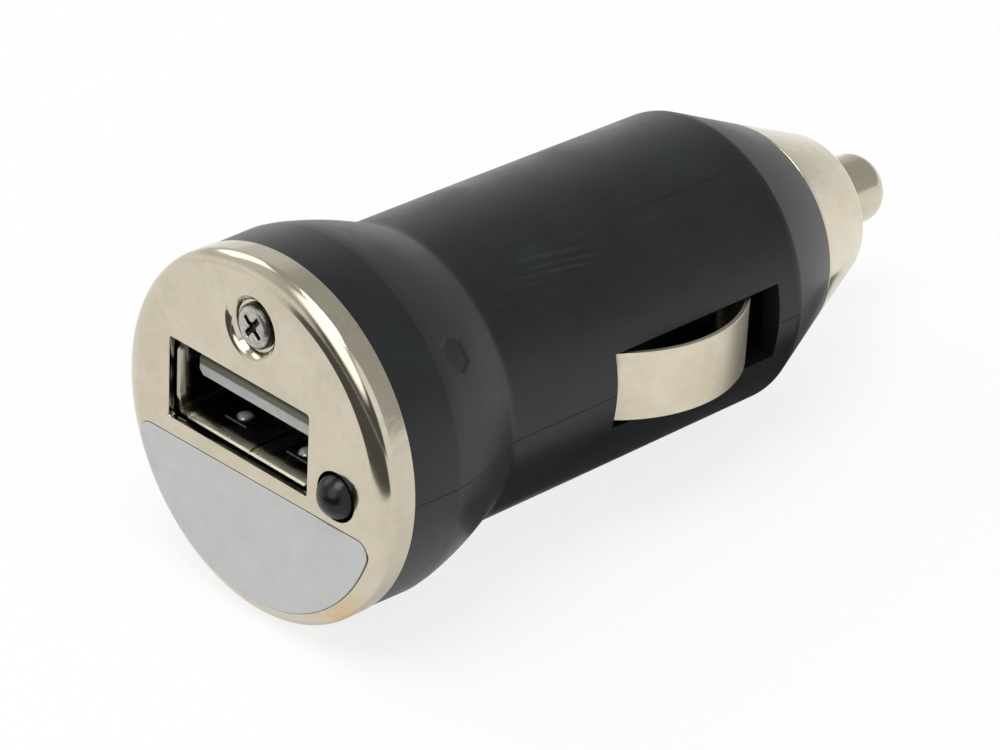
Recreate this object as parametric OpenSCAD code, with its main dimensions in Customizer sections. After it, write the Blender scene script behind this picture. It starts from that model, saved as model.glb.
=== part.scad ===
// Car charger plug with one USB socket in its face.
// +Y runs along the plug from the face to the nose pin, and +Z points up to the screw.
// The origin is on the axis, where the shoulder meets the straight barrel. All sizes in mm.

/* [Barrel] */
// Diameter of the barrel that slides into the car's socket
barrel_d = 20.6; // [20.2:0.1:21]
// Length of the barrel, from the shoulder to the nose cone
barrel_l = 26.5; // [26.5:0.1:30]
// Length of the round, straight stretch behind the shoulder
round_l = 9; // [8:0.1:9.2]
// How much the barrel's radius narrows from there to the nose cone, for the mould
draft = 0.05; // [0.02:0.01:0.1]
// Thickness of the barrel's wall
wall = 1.5; // [1.3:0.1:1.7]
// Gap between pieces that slip into each other
fit = 0.05; // [0.03:0.01:0.08]
// Width of the fine groove where the two shells meet
seam_w = 0.1; // [0.06:0.02:0.2]
// Depth of the fine groove where the two shells meet
seam_deep = 0.3; // [0.2:0.1:0.6]

/* [Head] */
// Diameter of the head behind the face
head_d = 24.6; // [24.4:0.1:26]
// Length of the plastic head, from the metal cap to the shoulder
head_l = 3.9; // [3:0.1:6]
// Length of the shoulder that narrows to the barrel
shoulder_l = 6.3; // [5:0.1:8]
// How far the shoulder swells past a straight cone
shoulder_bulge = 0.2; // [0:0.05:0.4]
// Thickness of the head's wall
head_wall = 1.6; // [1.4:0.1:1.8]
// Thickness of the plastic wall behind the face plate
front_wall = 1; // [0.8:0.1:1.5]
// Distance of the moulding mark from the barrel, along the axis
mark_y = 4.4; // [3.6:0.1:5]
// Angle of the moulding mark above the seam, in degrees
mark_angle = 37.5; // [20:0.5:60]
// Width of the moulding mark
mark_w = 2; // [1:0.1:3]
// Depth of the moulding mark
mark_deep = 0.2; // [0.1:0.05:0.4]

/* [Face plate] */
// Length of the metal cap's rim, from the face to the plastic
cap_l = 2.3; // [1.8:0.1:3]
// Thickness of the sheet of the metal cap
plate_t = 0.5; // [0.4:0.1:0.7]
// Rounding of the cap's front edge
cap_round = 0.9; // [0.6:0.1:1.2]
// Opening round the socket, across
port_w = 13; // [12.8:0.1:13.4]
// Opening round the socket, in height
port_h = 5.74; // [5.7:0.02:6]
// Middle of the socket, to the side
port_x = -1.43; // [-2:0.01:-1]
// Middle of the socket, in height
port_z = 1.24; // [1:0.01:1.6]
// Screw, to the side
screw_x = -0.35; // [-1:0.05:1]
// Screw, in height
screw_z = 7.83; // [7.6:0.01:8]
// Diameter of the pressed dimple round the screw
dimple_d = 4; // [3.8:0.1:4.4]
// Depth of the dimple's floor
dimple_deep = 0.55; // [0.4:0.05:0.6]
// Diameter of the screw's head
screw_head_d = 3; // [2.8:0.1:3.2]
// Height of the screw's head
screw_head_h = 0.45; // [0.35:0.05:0.5]
// Direction of the cross in the screw's head, in degrees
cross_turn = 38; // [0:1:90]
// Diameter of the screw's thread
screw_d = 2; // [1.8:0.1:2.2]
// Length of the screw's thread
screw_l = 7; // [5:0.5:7.5]
// Thickness of the label
label_t = 0.1; // [0.06:0.02:0.2]
// Height of the label's upper edge, below the axis
label_drop = 2.7; // [2.4:0.1:4]
// Tilt of the label, in degrees
label_tilt = 1.1; // [-2:0.1:2]
// Rounding of the label's corners
label_round = 0.9; // [0.5:0.1:1.5]

/* [Indicator lamp] */
// Diameter of the lamp's body
lamp_d = 3; // [2.8:0.1:3.2]
// Lamp, to the side
lamp_x = 7.66; // [7.5:0.02:7.9]
// Lamp, in height
lamp_z = -0.42; // [-0.5:0.01:-0.1]
// How far the lamp stands out of the face
lamp_out = 1.05; // [0.9:0.05:1.5]
// Ring of space round the lamp in the plate
lamp_gap = 0.15; // [0.1:0.05:0.3]
// Diameter of the lamp's flange
lamp_flange_d = 3.8; // [3.6:0.1:4]
// Height of the lamp's flange
lamp_flange_h = 0.9; // [0.6:0.1:1.2]
// Thickness of a lamp lead
lead_t = 0.5; // [0.4:0.1:0.6]
// Distance between the two lamp leads
lead_gap = 1.8; // [1.6:0.02:1.8]
// Length of the lower lead, from the flange to its hole in the board
lead_l = 2.6; // [2.2:0.1:3]
// Distance between the two leads' holes in the board
lead_step = 2.2; // [1.8:0.1:2.4]

/* [USB socket] */
// Width of the socket's steel shell, outside
usb_w = 13.1; // [13:0.1:13.3]
// Height of the socket's steel shell, outside
usb_h = 5.7; // [5.6:0.1:5.8]
// Length of the socket's steel shell
usb_l = 11.2; // [11:0.1:11.4]
// Thickness of the shell's sheet
usb_t = 0.3; // [0.25:0.05:0.35]
// How far the shell's mouth lies behind the face
usb_deep = 0.75; // [0.7:0.05:0.9]
// Width of the tongue that carries the contacts
tongue_w = 11.1; // [10.8:0.1:11.2]
// Thickness of the tongue
tongue_t = 1.84; // [1.7:0.02:1.9]
// How far the tongue's end lies behind the shell's mouth
tongue_deep = 0.95; // [0.7:0.05:1.5]
// Space between the tongue and the shell, above it
tongue_gap = 0.72; // [0.66:0.02:0.8]
// Length of the block that holds the tongue
block_l = 1.8; // [1.5:0.1:2.2]
// Width of one contact strip
pin_w = 1; // [0.8:0.1:1.1]
// Thickness of one contact strip
pin_t = 0.2; // [0.15:0.05:0.25]

/* [Circuit board] */
// Distance of the board's front edge from the plastic front wall
board_gap = 1.5; // [1.2:0.1:2]
// Thickness of the board
board_t = 1.2; // [1:0.1:1.6]
// Space between the board's side and the wall, in the head
head_side_gap = 1.4; // [1.3:0.1:1.6]
// Space between the board's side and the wall, in the barrel
neck_side_gap = 1; // [0.9:0.1:1.2]
// Distance of the board's side from the middle of a side contact's root
tail_side_gap = 2.8; // [2.7:0.1:3]
// Thickness of the ledges that the board lies on
ledge_h = 1.6; // [1.2:0.1:1.8]
// How far the ledges and clamps reach over the board's edge
board_grip = 0.9; // [0.7:0.1:1]
// Space between neighbouring parts on the board
part_gap = 0.4; // [0.3:0.1:0.5]
// Diameter of the coil's core
coil_d = 7.2; // [6:0.1:7.4]
// Height of the coil
coil_h = 5.6; // [4:0.1:6]
// Thickness of the coil's flanges
coil_flange_h = 1; // [0.8:0.1:1.2]
// Diameter of the tall capacitor
tall_can_d = 6.3; // [5:0.1:6.5]
// Height of the tall capacitor
tall_can_h = 6.8; // [5:0.1:7]
// Diameter of the short capacitors
short_can_d = 5; // [4:0.1:5.2]
// Height of the short capacitors
short_can_h = 5.8; // [5:0.1:6]
// Length of the switching chip's body
chip_l = 5; // [4.8:0.1:5.2]
// Width of the switching chip's body
chip_w = 3.9; // [3.7:0.1:4.1]
// Height of the switching chip's body
chip_h = 1.4; // [1.2:0.1:1.6]
// Length of the rectifier diode
diode_l = 4.5; // [4:0.1:4.6]
// Length of a ceramic capacitor
ceramic_l = 3.2; // [2:0.1:3.2]
// Length of a chip resistor
resistor_l = 2; // [1.6:0.1:2]
// Width of the tab that feeds the board from the nose
terminal_w = 2; // [1.5:0.1:2.5]
// Thickness of the plate under the pin's spring
terminal_t = 0.4; // [0.3:0.05:0.5]

/* [Side contacts] */
// Width of the slot for each side contact
slot_w = 5.4; // [5.2:0.1:5.6]
// Length of the slot for each side contact
slot_l = 15.1; // [15:0.1:15.4]
// Distance of the slot from the shoulder
slot_y = 9.25; // [9.25:0.05:10]
// How far the slot's middle lies above the axis
slot_z = 0.1; // [0:0.05:0.2]
// Width of the spring strip
strip_w = 4.9; // [4.6:0.1:5]
// Thickness of the spring strip
strip_t = 0.35; // [0.3:0.05:0.4]
// Radius of the bow
bow_r = 9.6; // [9.2:0.1:10.5]
// How far the bow stands proud of the barrel
bow_out = 1.5; // [1.2:0.1:1.7]
// Length of the strip along the barrel
strip_l = 12.2; // [12:0.1:12.4]
// Space between the strip's free end and the slot's end
strip_gap = 0.6; // [0.4:0.05:0.7]
// Radius of the curled root that the strip turns on
root_r = 0.6; // [0.5:0.05:0.65]
// Depth of the root's middle below the barrel's surface
root_deep = 3.1; // [3:0.05:3.2]
// Length of the root's ears beyond the slot
ear_l = 1.2; // [1:0.1:1.4]
// Plastic round the holes that the roots turn in
rib_t = 0.6; // [0.5:0.1:0.7]

/* [Nose] */
// Length of the plastic cone in front of the barrel
cone_l = 5.45; // [5:0.05:6]
// Diameter where the plastic cone meets the metal ring
ring_d = 15.76; // [15.2:0.02:16.4]
// Length of the metal ring
ring_l = 6.6; // [6.4:0.1:8]
// Diameter of the ring's front
ring_front_d = 10.3; // [10:0.1:11]
// Rounding of the ring's front edge
ring_round = 1; // [0.6:0.1:1.2]
// Diameter of the plastic neck inside the ring
neck_d = 10.2; // [9.8:0.1:10.4]
// Length of the plastic neck inside the ring
neck_l = 3.95; // [3.6:0.05:4]
// Diameter of the centre pin
pin_d = 4.96; // [4.8:0.02:5.2]
// How far the centre pin stands out of the ring
pin_out = 5.75; // [5:0.05:6.5]
// Rounding of the pin's tip
pin_round = 1.4; // [1:0.1:1.6]
// Diameter of the pin's collar
collar_d = 6.6; // [6.4:0.1:6.7]
// Thickness of the pin's collar
collar_h = 1.15; // [1:0.05:1.4]
// Diameter of the spring chamber
chamber_d = 7; // [7:0.1:7.2]
// Wire of the pin's spring
wire_d = 0.5; // [0.4:0.05:0.55]
// Outer diameter of the pin's spring
spring_d = 5.9; // [5.6:0.1:6]

/* [Hidden] */
$fn = 96;
black = [0.13, 0.13, 0.14];
nickel = [0.8, 0.78, 0.7];
steel = [0.7, 0.7, 0.68];
paper = [0.8, 0.81, 0.8];
cut = 1;

// Radii
barrel_r = barrel_d / 2;
head_r = head_d / 2;
room_r = barrel_r - wall;
head_room_r = head_r - head_wall;
ring_r = ring_d / 2;

// Places along the axis, from the face to the pin's tip
ridge_y = -shoulder_l;
ridge_soft = 0.05;
cap_y = ridge_y - head_l;
face_y = cap_y - cap_l;
seat_y = face_y + plate_t;
front_y = seat_y + front_wall;
nose_y = barrel_l + cone_l;
ring_y = nose_y + ring_l;
neck_y = nose_y + neck_l;
tip_y = ring_y + pin_out;
pin_fit = 0.08;
ring_floor = neck_y + 0.3;
collar_y = ring_floor - collar_h;

// The room inside the shells
cap_room_r = head_r - plate_t;
rim_r = cap_room_r - fit;
narrow_y = -0.7 * shoulder_l;
room_y = 0.2;
cone_slope = (barrel_r - ring_r) / cone_l;
web_t = 1.5;
web_y = nose_y - web_t;
cone_room_r = room_r - cone_slope * (web_y - barrel_l);
tube_web_t = 1.2;
tube_y = barrel_l - 0.6;
chamber_y = tube_y + tube_web_t;
spring_y = chamber_y + terminal_t;

// The socket and its board
usb_y = face_y + usb_deep;
usb_end = usb_y + usb_l;
usb_in_w = usb_w - 2 * usb_t;
usb_in_h = usb_h - 2 * usb_t;
usb_low = port_z - usb_h / 2;
board_z = usb_low;
board_low = board_z - board_t;
tongue_top = port_z + usb_in_h / 2 - tongue_gap;
tongue_low = tongue_top - tongue_t;
tongue_y = usb_y + tongue_deep;
tail_t = 0.3;
chip_gap = 0.1;
block_end = usb_end - 0.5;
block_y = block_end - block_l;
pin_places = [-3.5, -1, 1, 3.5];
board_head = head_room_r - head_side_gap;
board_neck = room_r - neck_side_gap;
board_y = front_y + board_gap;
board_step = -0.5 * shoulder_l;
board_slim = slot_y - 0.65;
board_end = tube_y - 0.3;
tail_hole_r = 0.45;
tail_w = 0.7;
tail_out = 0.7;
tail_low = board_low - tail_out;
leg_w = 1.2;
leg_y = usb_y + 6;
lead_hole_r = 0.8 * lead_t;
flange_y = front_y + lamp_flange_h;
lower_lead_y = flange_y + lead_l;
upper_lead_y = lower_lead_y + lead_step;
neck_mid = slot_y / 2;

// The side contacts
bow_x = barrel_r + bow_out - bow_r;
strip_y = slot_y + strip_gap;
strip_end = strip_y + strip_l;
bow_y = strip_y + strip_l / 2;
root_x = barrel_r - root_deep;
root_y = strip_end - strip_t / 2;
slot_end = slot_y + slot_l;
board_tail = root_x - tail_side_gap;

// The round parts on top of the board
can_y = neck_mid + part_gap;
cans_w = tall_can_d + 2 * part_gap + short_can_d;
coil_y = can_y + tall_can_d / 2 + part_gap + coil_d / 2;
filter_y = coil_y + coil_d / 2 + part_gap + short_can_d / 2;

// The screw
screw_top = face_y + dimple_deep - screw_head_h;
dimple_floor_r = screw_head_d / 2 + 0.1;
boss_r = screw_d / 2 + 1.2;
pilot_r = screw_d / 2 - 0.15;
boss_end = face_y + dimple_deep + plate_t + screw_l + 1;

// Turns a profile of [radius, distance along the axis] about the plug's axis
module spun(points) {
  rotate([-90, 0, 0])
    rotate_extrude()
      polygon(points);
}

// A round bar along the axis between two distances
module bar(x, z, y0, y1, r0, r1) {
  translate([x, y0, z])
    rotate([-90, 0, 0])
      cylinder(h = y1 - y0, r1 = r0, r2 = r1);
}

// A box from its low corner to its high corner
module block(low, high) {
  translate(low)
    cube(high - low);
}

// Two boxes, one on each side, from x0 to x1 away from the middle
module side_blocks(x0, x1, y0, y1, z0, z1) {
  for (side = [-1, 1])
    scale([side, 1, 1])
      block([x0, y0, z0], [x1, y1, z1]);
}

// Radius of the shoulder, from 0 at the barrel to 1 at the ridge
function shoulder_r(t) = barrel_r + (head_r - barrel_r) * t + shoulder_bulge * sin(180 * t);

// The black plastic's outside, drawn in by a given depth
module plastic_outside(inset) {
  corner = cap_round - plate_t;
  spun(concat(
    [[0, seat_y], [rim_r - corner - inset, seat_y], [rim_r - inset, seat_y + corner]],
    [[rim_r - inset, cap_y], [head_r - inset, cap_y]],
    [[head_r - inset, ridge_y - 9 * ridge_soft], [head_r - ridge_soft - inset, ridge_y - 2 * ridge_soft]],
    [for (i = [9:-1:0]) [shoulder_r(i / 10) - inset, ridge_y * i / 10]],
    [[barrel_r - inset, round_l], [barrel_r - draft - inset, barrel_l]],
    [[ring_r - inset, nose_y], [neck_d / 2 - inset, nose_y]],
    [[neck_d / 2 - inset, neck_y], [0, neck_y]]
  ));
}

// The open room inside the head, the barrel and the cone
module plastic_room() {
  difference() {
    spun([
      [0, front_y], [head_room_r, front_y], [head_room_r, narrow_y], [room_r, room_y],
      [room_r, barrel_l], [cone_room_r, web_y], [0, web_y]
    ]);
    spun([[0, tube_y], [neck_d / 2, tube_y], [neck_d / 2, web_y + cut], [0, web_y + cut]]);
  }
}

// The dimple's shape behind the plate, with room round it
module dimple_back(gap) {
  bar(screw_x, screw_z, seat_y, face_y + dimple_deep + plate_t, dimple_d / 2 + 0.5 + gap,
    dimple_floor_r + 0.5 + gap);
}

// Room for the socket, the lamp and the screw in the plastic
module front_openings() {
  usb_room = usb_w / 2 + 2 * fit;
  lamp_room = lamp_d / 2 + fit;
  flange_room = lamp_flange_d / 2 + fit;
  block([port_x - usb_room, seat_y - cut, usb_low - 2 * fit],
    [port_x + usb_room, usb_end, usb_low + usb_h + 2 * fit]);
  bar(lamp_x, lamp_z, seat_y - cut, front_y + cut, lamp_room, lamp_room);
  bar(lamp_x, lamp_z, front_y, flange_y + fit, flange_room, flange_room);
  dimple_back(fit);
  bar(screw_x, screw_z, seat_y, boss_end - 0.5, pilot_r, pilot_r);
}

// The slots for the side contacts, with a small notch where the shells meet
module side_slots() {
  notch = 0.25;
  slot_low = slot_z - slot_w / 2;
  side_blocks(board_tail, head_r, slot_y, slot_end, slot_low, slot_low + slot_w);
  for (side = [-1, 1])
    translate([side * barrel_r, slot_end, 0])
      rotate([0, 90, 0])
        cylinder(h = 2 * wall, r = notch, $fn = 4, center = true);
}

// Blind holes that the ears of the contacts turn in
module root_holes() {
  hole_l = slot_w + 2 * ear_l + 0.1;
  for (side = [-1, 1])
    translate([side * root_x, root_y, slot_z - hole_l / 2])
      cylinder(h = hole_l, r = root_r + fit);
}

// Ribs beside the slots that hold the contacts' roots, above (1) or below (-1)
module root_ribs(level) {
  half = root_r + rib_t;
  near_z = slot_w / 2;
  far_z = slot_w / 2 + ear_l + rib_t;
  translate([0, 0, slot_z])
    side_blocks(root_x - half, room_r, root_y - half, root_y + half, min(level * near_z,
      level * far_z), max(level * near_z, level * far_z));
}

// A shallow six-sided moulding mark on the shoulder
module moulding_mark() {
  mark_r = shoulder_r(mark_y / shoulder_l);
  slope = atan((head_r - barrel_r) / shoulder_l);
  rotate([0, -mark_angle, 0])
    translate([mark_r - mark_deep, -mark_y, 0])
      rotate([0, 0, slope])
        rotate([0, 90, 0])
          scale([1, 0.7, 1])
            cylinder(h = 2, r = mark_w / 2, $fn = 6);
}

// One half of the plastic body, above (1) or below (-1) the seam
module half_shell(level) {
  reach = 100;
  difference() {
    union() {
      intersection() {
        difference() {
          plastic_outside(0);
          plastic_room();
          bar(0, 0, chamber_y, neck_y + cut, chamber_d / 2, chamber_d / 2);
        }
        translate([0, 0, level * reach / 2])
          cube(reach, center = true);
      }
      intersection() {
        union() {
          root_ribs(level);
          if (level > 0) upper_ribs();
          if (level < 0) lower_ribs();
        }
        plastic_outside(0.5);
      }
    }
    side_slots();
    root_holes();
    front_openings();
    block([-terminal_w / 2, tube_y - cut, board_low - terminal_t], [terminal_w / 2,
      chamber_y + cut, board_low]);
    difference() {
      cube([reach, 2 * reach, seam_w], center = true);
      plastic_outside(seam_deep);
      block([-reach, neck_y - 2 * neck_l, -1], [reach, reach, 1]);
      block([-reach, -reach, -1], [reach, cap_y, 1]);
    }
  }
}

// Screw boss, board clamps and the stop behind the socket
module upper_ribs() {
  fin_t = 1.4;
  stop_w = 6;
  stop_t = 1.2;
  clamp_l = 3.6;
  bar(screw_x, screw_z, front_y - 0.1, boss_end, boss_r, boss_r);
  block([screw_x - fin_t / 2, front_y - 0.1, screw_z + pilot_r], [screw_x + fin_t / 2,
    boss_end - 0.5, head_r]);
  stop_z = port_z + usb_h / 4;
  block([port_x - stop_w / 2, usb_end, stop_z], [port_x + stop_w / 2, usb_end + stop_t, head_r]);
  side_blocks(board_neck - board_grip, board_neck + board_grip / 3, neck_mid - clamp_l / 2,
    neck_mid + clamp_l / 2, board_z, room_r);
}

// Ledges that the board lies on
module lower_ribs() {
  ledge_l = 2.4;
  step = 0.4;
  low = board_low - ledge_h;
  side_blocks(board_head - board_grip, head_room_r, board_y + step, board_y + step + ledge_l,
    low, board_low);
  side_blocks(board_neck - board_grip, room_r, neck_mid - ledge_l / 2, neck_mid + ledge_l / 2,
    low, board_low);
  side_blocks(board_tail - board_grip, room_r, board_end - step - ledge_l, board_end - step,
    low, board_low);
}

module upper_shell() {
  color(black)
    difference() {
      half_shell(1);
      moulding_mark();
    }
}

module lower_shell() {
  color(black)
    half_shell(-1);
}

// The pressed metal cap over the front
module face_plate() {
  steps = 6;
  edge = [for (i = [0:steps]) [head_r - cap_round + cap_round * sin(90 * i / steps),
    face_y + cap_round - cap_round * cos(90 * i / steps)]];
  inner_round = cap_round - plate_t;
  inside = [for (i = [steps:-1:0]) [cap_room_r - inner_round + inner_round * sin(90 * i / steps),
    seat_y + inner_round - inner_round * cos(90 * i / steps)]];
  color(nickel)
    difference() {
      union() {
        spun(concat([[0, face_y]], edge, [[head_r, cap_y], [cap_room_r, cap_y]], inside,
          [[0, seat_y]]));
        dimple_back(0);
      }
      block([port_x - port_w / 2, face_y - cut, port_z - port_h / 2],
        [port_x + port_w / 2, seat_y + cut, port_z + port_h / 2]);
      bar(lamp_x, lamp_z, face_y - cut, seat_y + cut, lamp_d / 2 + lamp_gap, lamp_d / 2 + lamp_gap);
      bar(screw_x, screw_z, face_y - 0.01, face_y + dimple_deep, dimple_d / 2, dimple_floor_r);
      bar(screw_x, screw_z, face_y, face_y + 3, screw_d / 2 + fit, screw_d / 2 + fit);
    }
}

// The cross-head screw that holds the cap on
module face_screw() {
  head_low = screw_top + screw_head_h;
  bevel = 0.2;
  shank_joint = 0.1;
  point_l = 1;
  point_r = 0.4;
  cross_l = 0.62 * screw_head_d;
  cross_w = 0.42;
  cross_deep = 0.4;
  centre_deep = 0.8;
  centre_r = 0.7;
  centre_point_r = 0.1;
  color(steel)
    difference() {
      union() {
        bar(screw_x, screw_z, screw_top, screw_top + bevel, screw_head_d / 2 - bevel,
          screw_head_d / 2);
        bar(screw_x, screw_z, screw_top + bevel, head_low, screw_head_d / 2, screw_head_d / 2);
        bar(screw_x, screw_z, head_low - shank_joint, head_low + screw_l - point_l, screw_d / 2,
          screw_d / 2);
        bar(screw_x, screw_z, head_low + screw_l - point_l, head_low + screw_l, screw_d / 2,
          point_r);
      }
      for (turn = [cross_turn, cross_turn + 90])
        translate([screw_x, screw_top, screw_z])
          rotate([0, turn, 0])
            cube([cross_l, 2 * cross_deep, cross_w], center = true);
      bar(screw_x, screw_z, screw_top - cut, screw_top + centre_deep, centre_r, centre_point_r);
    }
}

// The plain label on the lower part of the face
module blank_label() {
  label_r = head_r - cap_round - 0.1;
  corner_z = -label_drop - label_round;
  corner_x = sqrt(pow(label_r - label_round, 2) - corner_z * corner_z);
  color(paper)
    rotate([0, -label_tilt, 0])
      difference() {
        bar(0, 0, face_y - label_t, face_y, label_r, label_r);
        block([-20, face_y - cut, -label_drop], [20, face_y + cut, 20]);
        for (side = [-1, 1])
          difference() {
            translate([side * (corner_x + 2), face_y, corner_z + 1])
              cube([4, 2, 2.3], center = true);
            bar(side * corner_x, corner_z, face_y - 2, face_y + 2, label_round, label_round);
          }
      }
}

// The round lamp beside the socket
module indicator_lamp() {
  dome_y = face_y - lamp_out + lamp_d / 2;
  color([0.1, 0.12, 0.2])
    union() {
      translate([lamp_x, dome_y, lamp_z])
        sphere(d = lamp_d);
      bar(lamp_x, lamp_z, dome_y, flange_y, lamp_d / 2, lamp_d / 2);
      bar(lamp_x, lamp_z, front_y, flange_y, lamp_flange_d / 2, lamp_flange_d / 2);
    }
}

// A lamp lead that runs back and then down through the board
module lamp_lead(level, hole_y) {
  lead_z = lamp_z + level * lead_gap / 2;
  half = lead_t / 2;
  color(steel)
    union() {
      block([lamp_x - half, flange_y, lead_z - half], [lamp_x + half, hole_y + half,
        lead_z + half]);
      block([lamp_x - half, hole_y - half, tail_low], [lamp_x + half, hole_y + half,
        lead_z + half]);
    }
}

// The socket's folded steel shell
module usb_shell() {
  finger_w = 2;
  finger_cut = 0.2;
  finger_l = 5;
  finger_y = usb_y + 1.5;
  bump_r = 0.55;
  bump_h = 0.3;
  bump_y = usb_y + 2.55;
  bump_x = 2.9;
  joint_w = 0.1;
  joint_x = port_x + 0.35;
  window_w = tongue_w - 0.3;
  low = usb_low;
  side_x = (usb_w - usb_t) / 2;
  color(steel)
    union() {
      difference() {
        block([port_x - usb_w / 2, usb_y, low], [port_x + usb_w / 2, usb_end, low + usb_h]);
        block([port_x - usb_in_w / 2, usb_y - cut, low + usb_t],
          [port_x + usb_in_w / 2, usb_end + cut, low + usb_h - usb_t]);
        block([port_x - window_w / 2, block_end - 0.2, low - cut], [port_x + window_w / 2,
          usb_end + cut, low + cut]);
        block([joint_x - joint_w / 2, usb_y - cut, low - cut], [joint_x + joint_w / 2, block_y,
          low + usb_t + 0.1]);
        for (side = [-1, 1]) {
          finger_x = port_x + side * bump_x;
          for (edge = [-1, 1])
            translate([finger_x + edge * (finger_w + finger_cut) / 2, finger_y + finger_l / 2, low])
              cube([finger_cut, finger_l, 4 * usb_t], center = true);
          translate([finger_x, finger_y + finger_cut / 2, low])
            cube([finger_w + 2 * finger_cut, finger_cut, 4 * usb_t], center = true);
        }
      }
      for (side = [-1, 1]) {
        translate([port_x + side * bump_x, bump_y, low + usb_t / 2])
          cylinder(h = usb_t / 2 + bump_h, r1 = bump_r, r2 = bump_r * 0.6);
        block([port_x + side * side_x - usb_t / 2, leg_y, tail_low],
          [port_x + side * side_x + usb_t / 2, leg_y + leg_w, low + usb_t]);
      }
    }
}

// The pale block and tongue inside the socket
module usb_tongue() {
  bevel = 1;
  side_room = 0.02;
  color([0.75, 0.77, 0.74])
    difference() {
      union() {
        block([port_x - usb_in_w / 2 + side_room, block_y, port_z - usb_in_h / 2],
          [port_x + usb_in_w / 2 - side_room, block_end, port_z + usb_in_h / 2]);
        difference() {
          block([port_x - tongue_w / 2, tongue_y, tongue_low], [port_x + tongue_w / 2,
            block_y + 0.1, tongue_top]);
          translate([0, tongue_y, tongue_top])
            rotate([35, 0, 0])
              cube([40, 2 * bevel, bevel], center = true);
          for (side = [-1, 1])
            translate([port_x + side * tongue_w / 2, tongue_y, tongue_low])
              rotate([0, 45, 0])
                cube([0.5, 40, 0.5], center = true);
        }
      }
      for (x = pin_places)
        block([port_x + x - pin_w / 2, block_y - cut, tongue_low - pin_t],
          [port_x + x + pin_w / 2, block_end + cut, tongue_low]);
    }
}

// One spring contact under the tongue, with its tail through the board
module usb_contact(index) {
  x = port_x + pin_places[index];
  color([0.85, 0.72, 0.4])
    union() {
      block([x - pin_w / 2, tongue_y + 1, tongue_low - pin_t], [x + pin_w / 2,
        block_end + tail_t, tongue_low]);
      block([x - tail_w / 2, block_end, tail_low], [x + tail_w / 2, block_end + tail_t,
        tongue_low]);
    }
}

// The board, wide in the head and slim between the side contacts
module circuit_board() {
  tail_y = block_end + tail_t / 2;
  color([0.1, 0.35, 0.2])
    difference() {
      union() {
        block([-board_head, board_y, board_low], [board_head, board_step, board_z]);
        block([-board_neck, board_step - 0.1, board_low], [board_neck, board_slim, board_z]);
        block([-board_tail, board_slim - 0.1, board_low], [board_tail, board_end, board_z]);
      }
      for (x = pin_places)
        translate([port_x + x, tail_y, board_low - cut])
          cylinder(h = board_t + 2 * cut, r = tail_hole_r);
      for (hole_y = [upper_lead_y, lower_lead_y])
        translate([lamp_x, hole_y, board_low - cut])
          cylinder(h = board_t + 2 * cut, r = lead_hole_r);
      for (side = [-1, 1])
        translate([port_x + side * (usb_w - usb_t) / 2, leg_y + leg_w / 2, board_z])
          cube([usb_t + 0.2, leg_w + 0.2, 4 * board_t], center = true);
    }
}

// The switching chip's body under the board
module converter_chip() {
  color([0.12, 0.12, 0.12])
    translate([0, neck_mid, board_low - chip_gap - chip_h / 2])
      cube([chip_w, chip_l, chip_h], center = true);
}

// One bent lead of the chip, out from its body and down to the board
module chip_lead() {
  lead_w = 0.4;
  sheet = 0.2;
  root_l = 0.5;
  foot_l = 0.9;
  lead_low = board_low - chip_gap - chip_h / 2;
  block([0, -lead_w / 2, lead_low - sheet / 2], [root_l, lead_w / 2, lead_low + sheet / 2]);
  block([root_l - sheet, -lead_w / 2, lead_low - sheet / 2], [root_l, lead_w / 2, board_low]);
  block([root_l - sheet, -lead_w / 2, board_low - sheet], [root_l - sheet + foot_l, lead_w / 2,
    board_low]);
}

// The chip's eight leads, four on each side
module chip_leads() {
  pitch = 1.27;
  color(steel)
    for (side = [-1, 1])
      for (i = [-1.5:1:1.5])
        translate([side * chip_w / 2, neck_mid + pitch * i, 0])
          scale([side, 1, 1])
            chip_lead();
}

// The coil's ferrite core: two flanges and a hub
module coil_core() {
  color([0.25, 0.25, 0.26])
    translate([0, coil_y, board_z])
      union() {
        cylinder(h = coil_flange_h, d = coil_d);
        cylinder(h = coil_h, d = coil_d / 2);
        translate([0, 0, coil_h - coil_flange_h])
          cylinder(h = coil_flange_h, d = coil_d);
      }
}

// The copper winding between the core's flanges
module coil_winding() {
  color([0.72, 0.4, 0.2])
    translate([0, coil_y, board_z + coil_flange_h])
      difference() {
        cylinder(h = coil_h - 2 * coil_flange_h, d = coil_d - 0.8);
        translate([0, 0, -cut])
          cylinder(h = coil_h + cut, d = coil_d / 2);
      }
}

// A round can that stands on the board, with the groove pressed into its foot
module can(x, y, d, h) {
  groove_h = 0.4;
  groove_deep = 0.15;
  color([0.3, 0.32, 0.4])
    translate([x, y, board_z])
      union() {
        cylinder(h = 2.5 * groove_h, d = d);
        cylinder(h = h, d = d - 2 * groove_deep);
        translate([0, 0, 3.5 * groove_h])
          cylinder(h = h - 3.5 * groove_h, d = d);
      }
}

module input_capacitor() {
  can((tall_can_d - cans_w) / 2, can_y, tall_can_d, tall_can_h);
}

module output_capacitor() {
  can((cans_w - short_can_d) / 2, can_y, short_can_d, short_can_h);
}

module filter_capacitor() {
  can(0, filter_y, short_can_d, short_can_h);
}

// A small part soldered under the board by its two ends, with its width and height as shares
module chip_part(x, y, l, w_share, h_share) {
  w = w_share * l;
  h = h_share * l;
  end_l = 0.2 * l;
  translate([x, y, board_low - h / 2])
    union() {
      cube([w, l - 2 * end_l + 0.1, h - 0.1], center = true);
      for (side = [-1, 1])
        translate([0, side * (l - end_l) / 2, 0])
          cube([w, end_l, h], center = true);
    }
}

module rectifier_diode() {
  color([0.15, 0.15, 0.15])
    chip_part(0, coil_y, diode_l, 0.58, 0.46);
}

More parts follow.
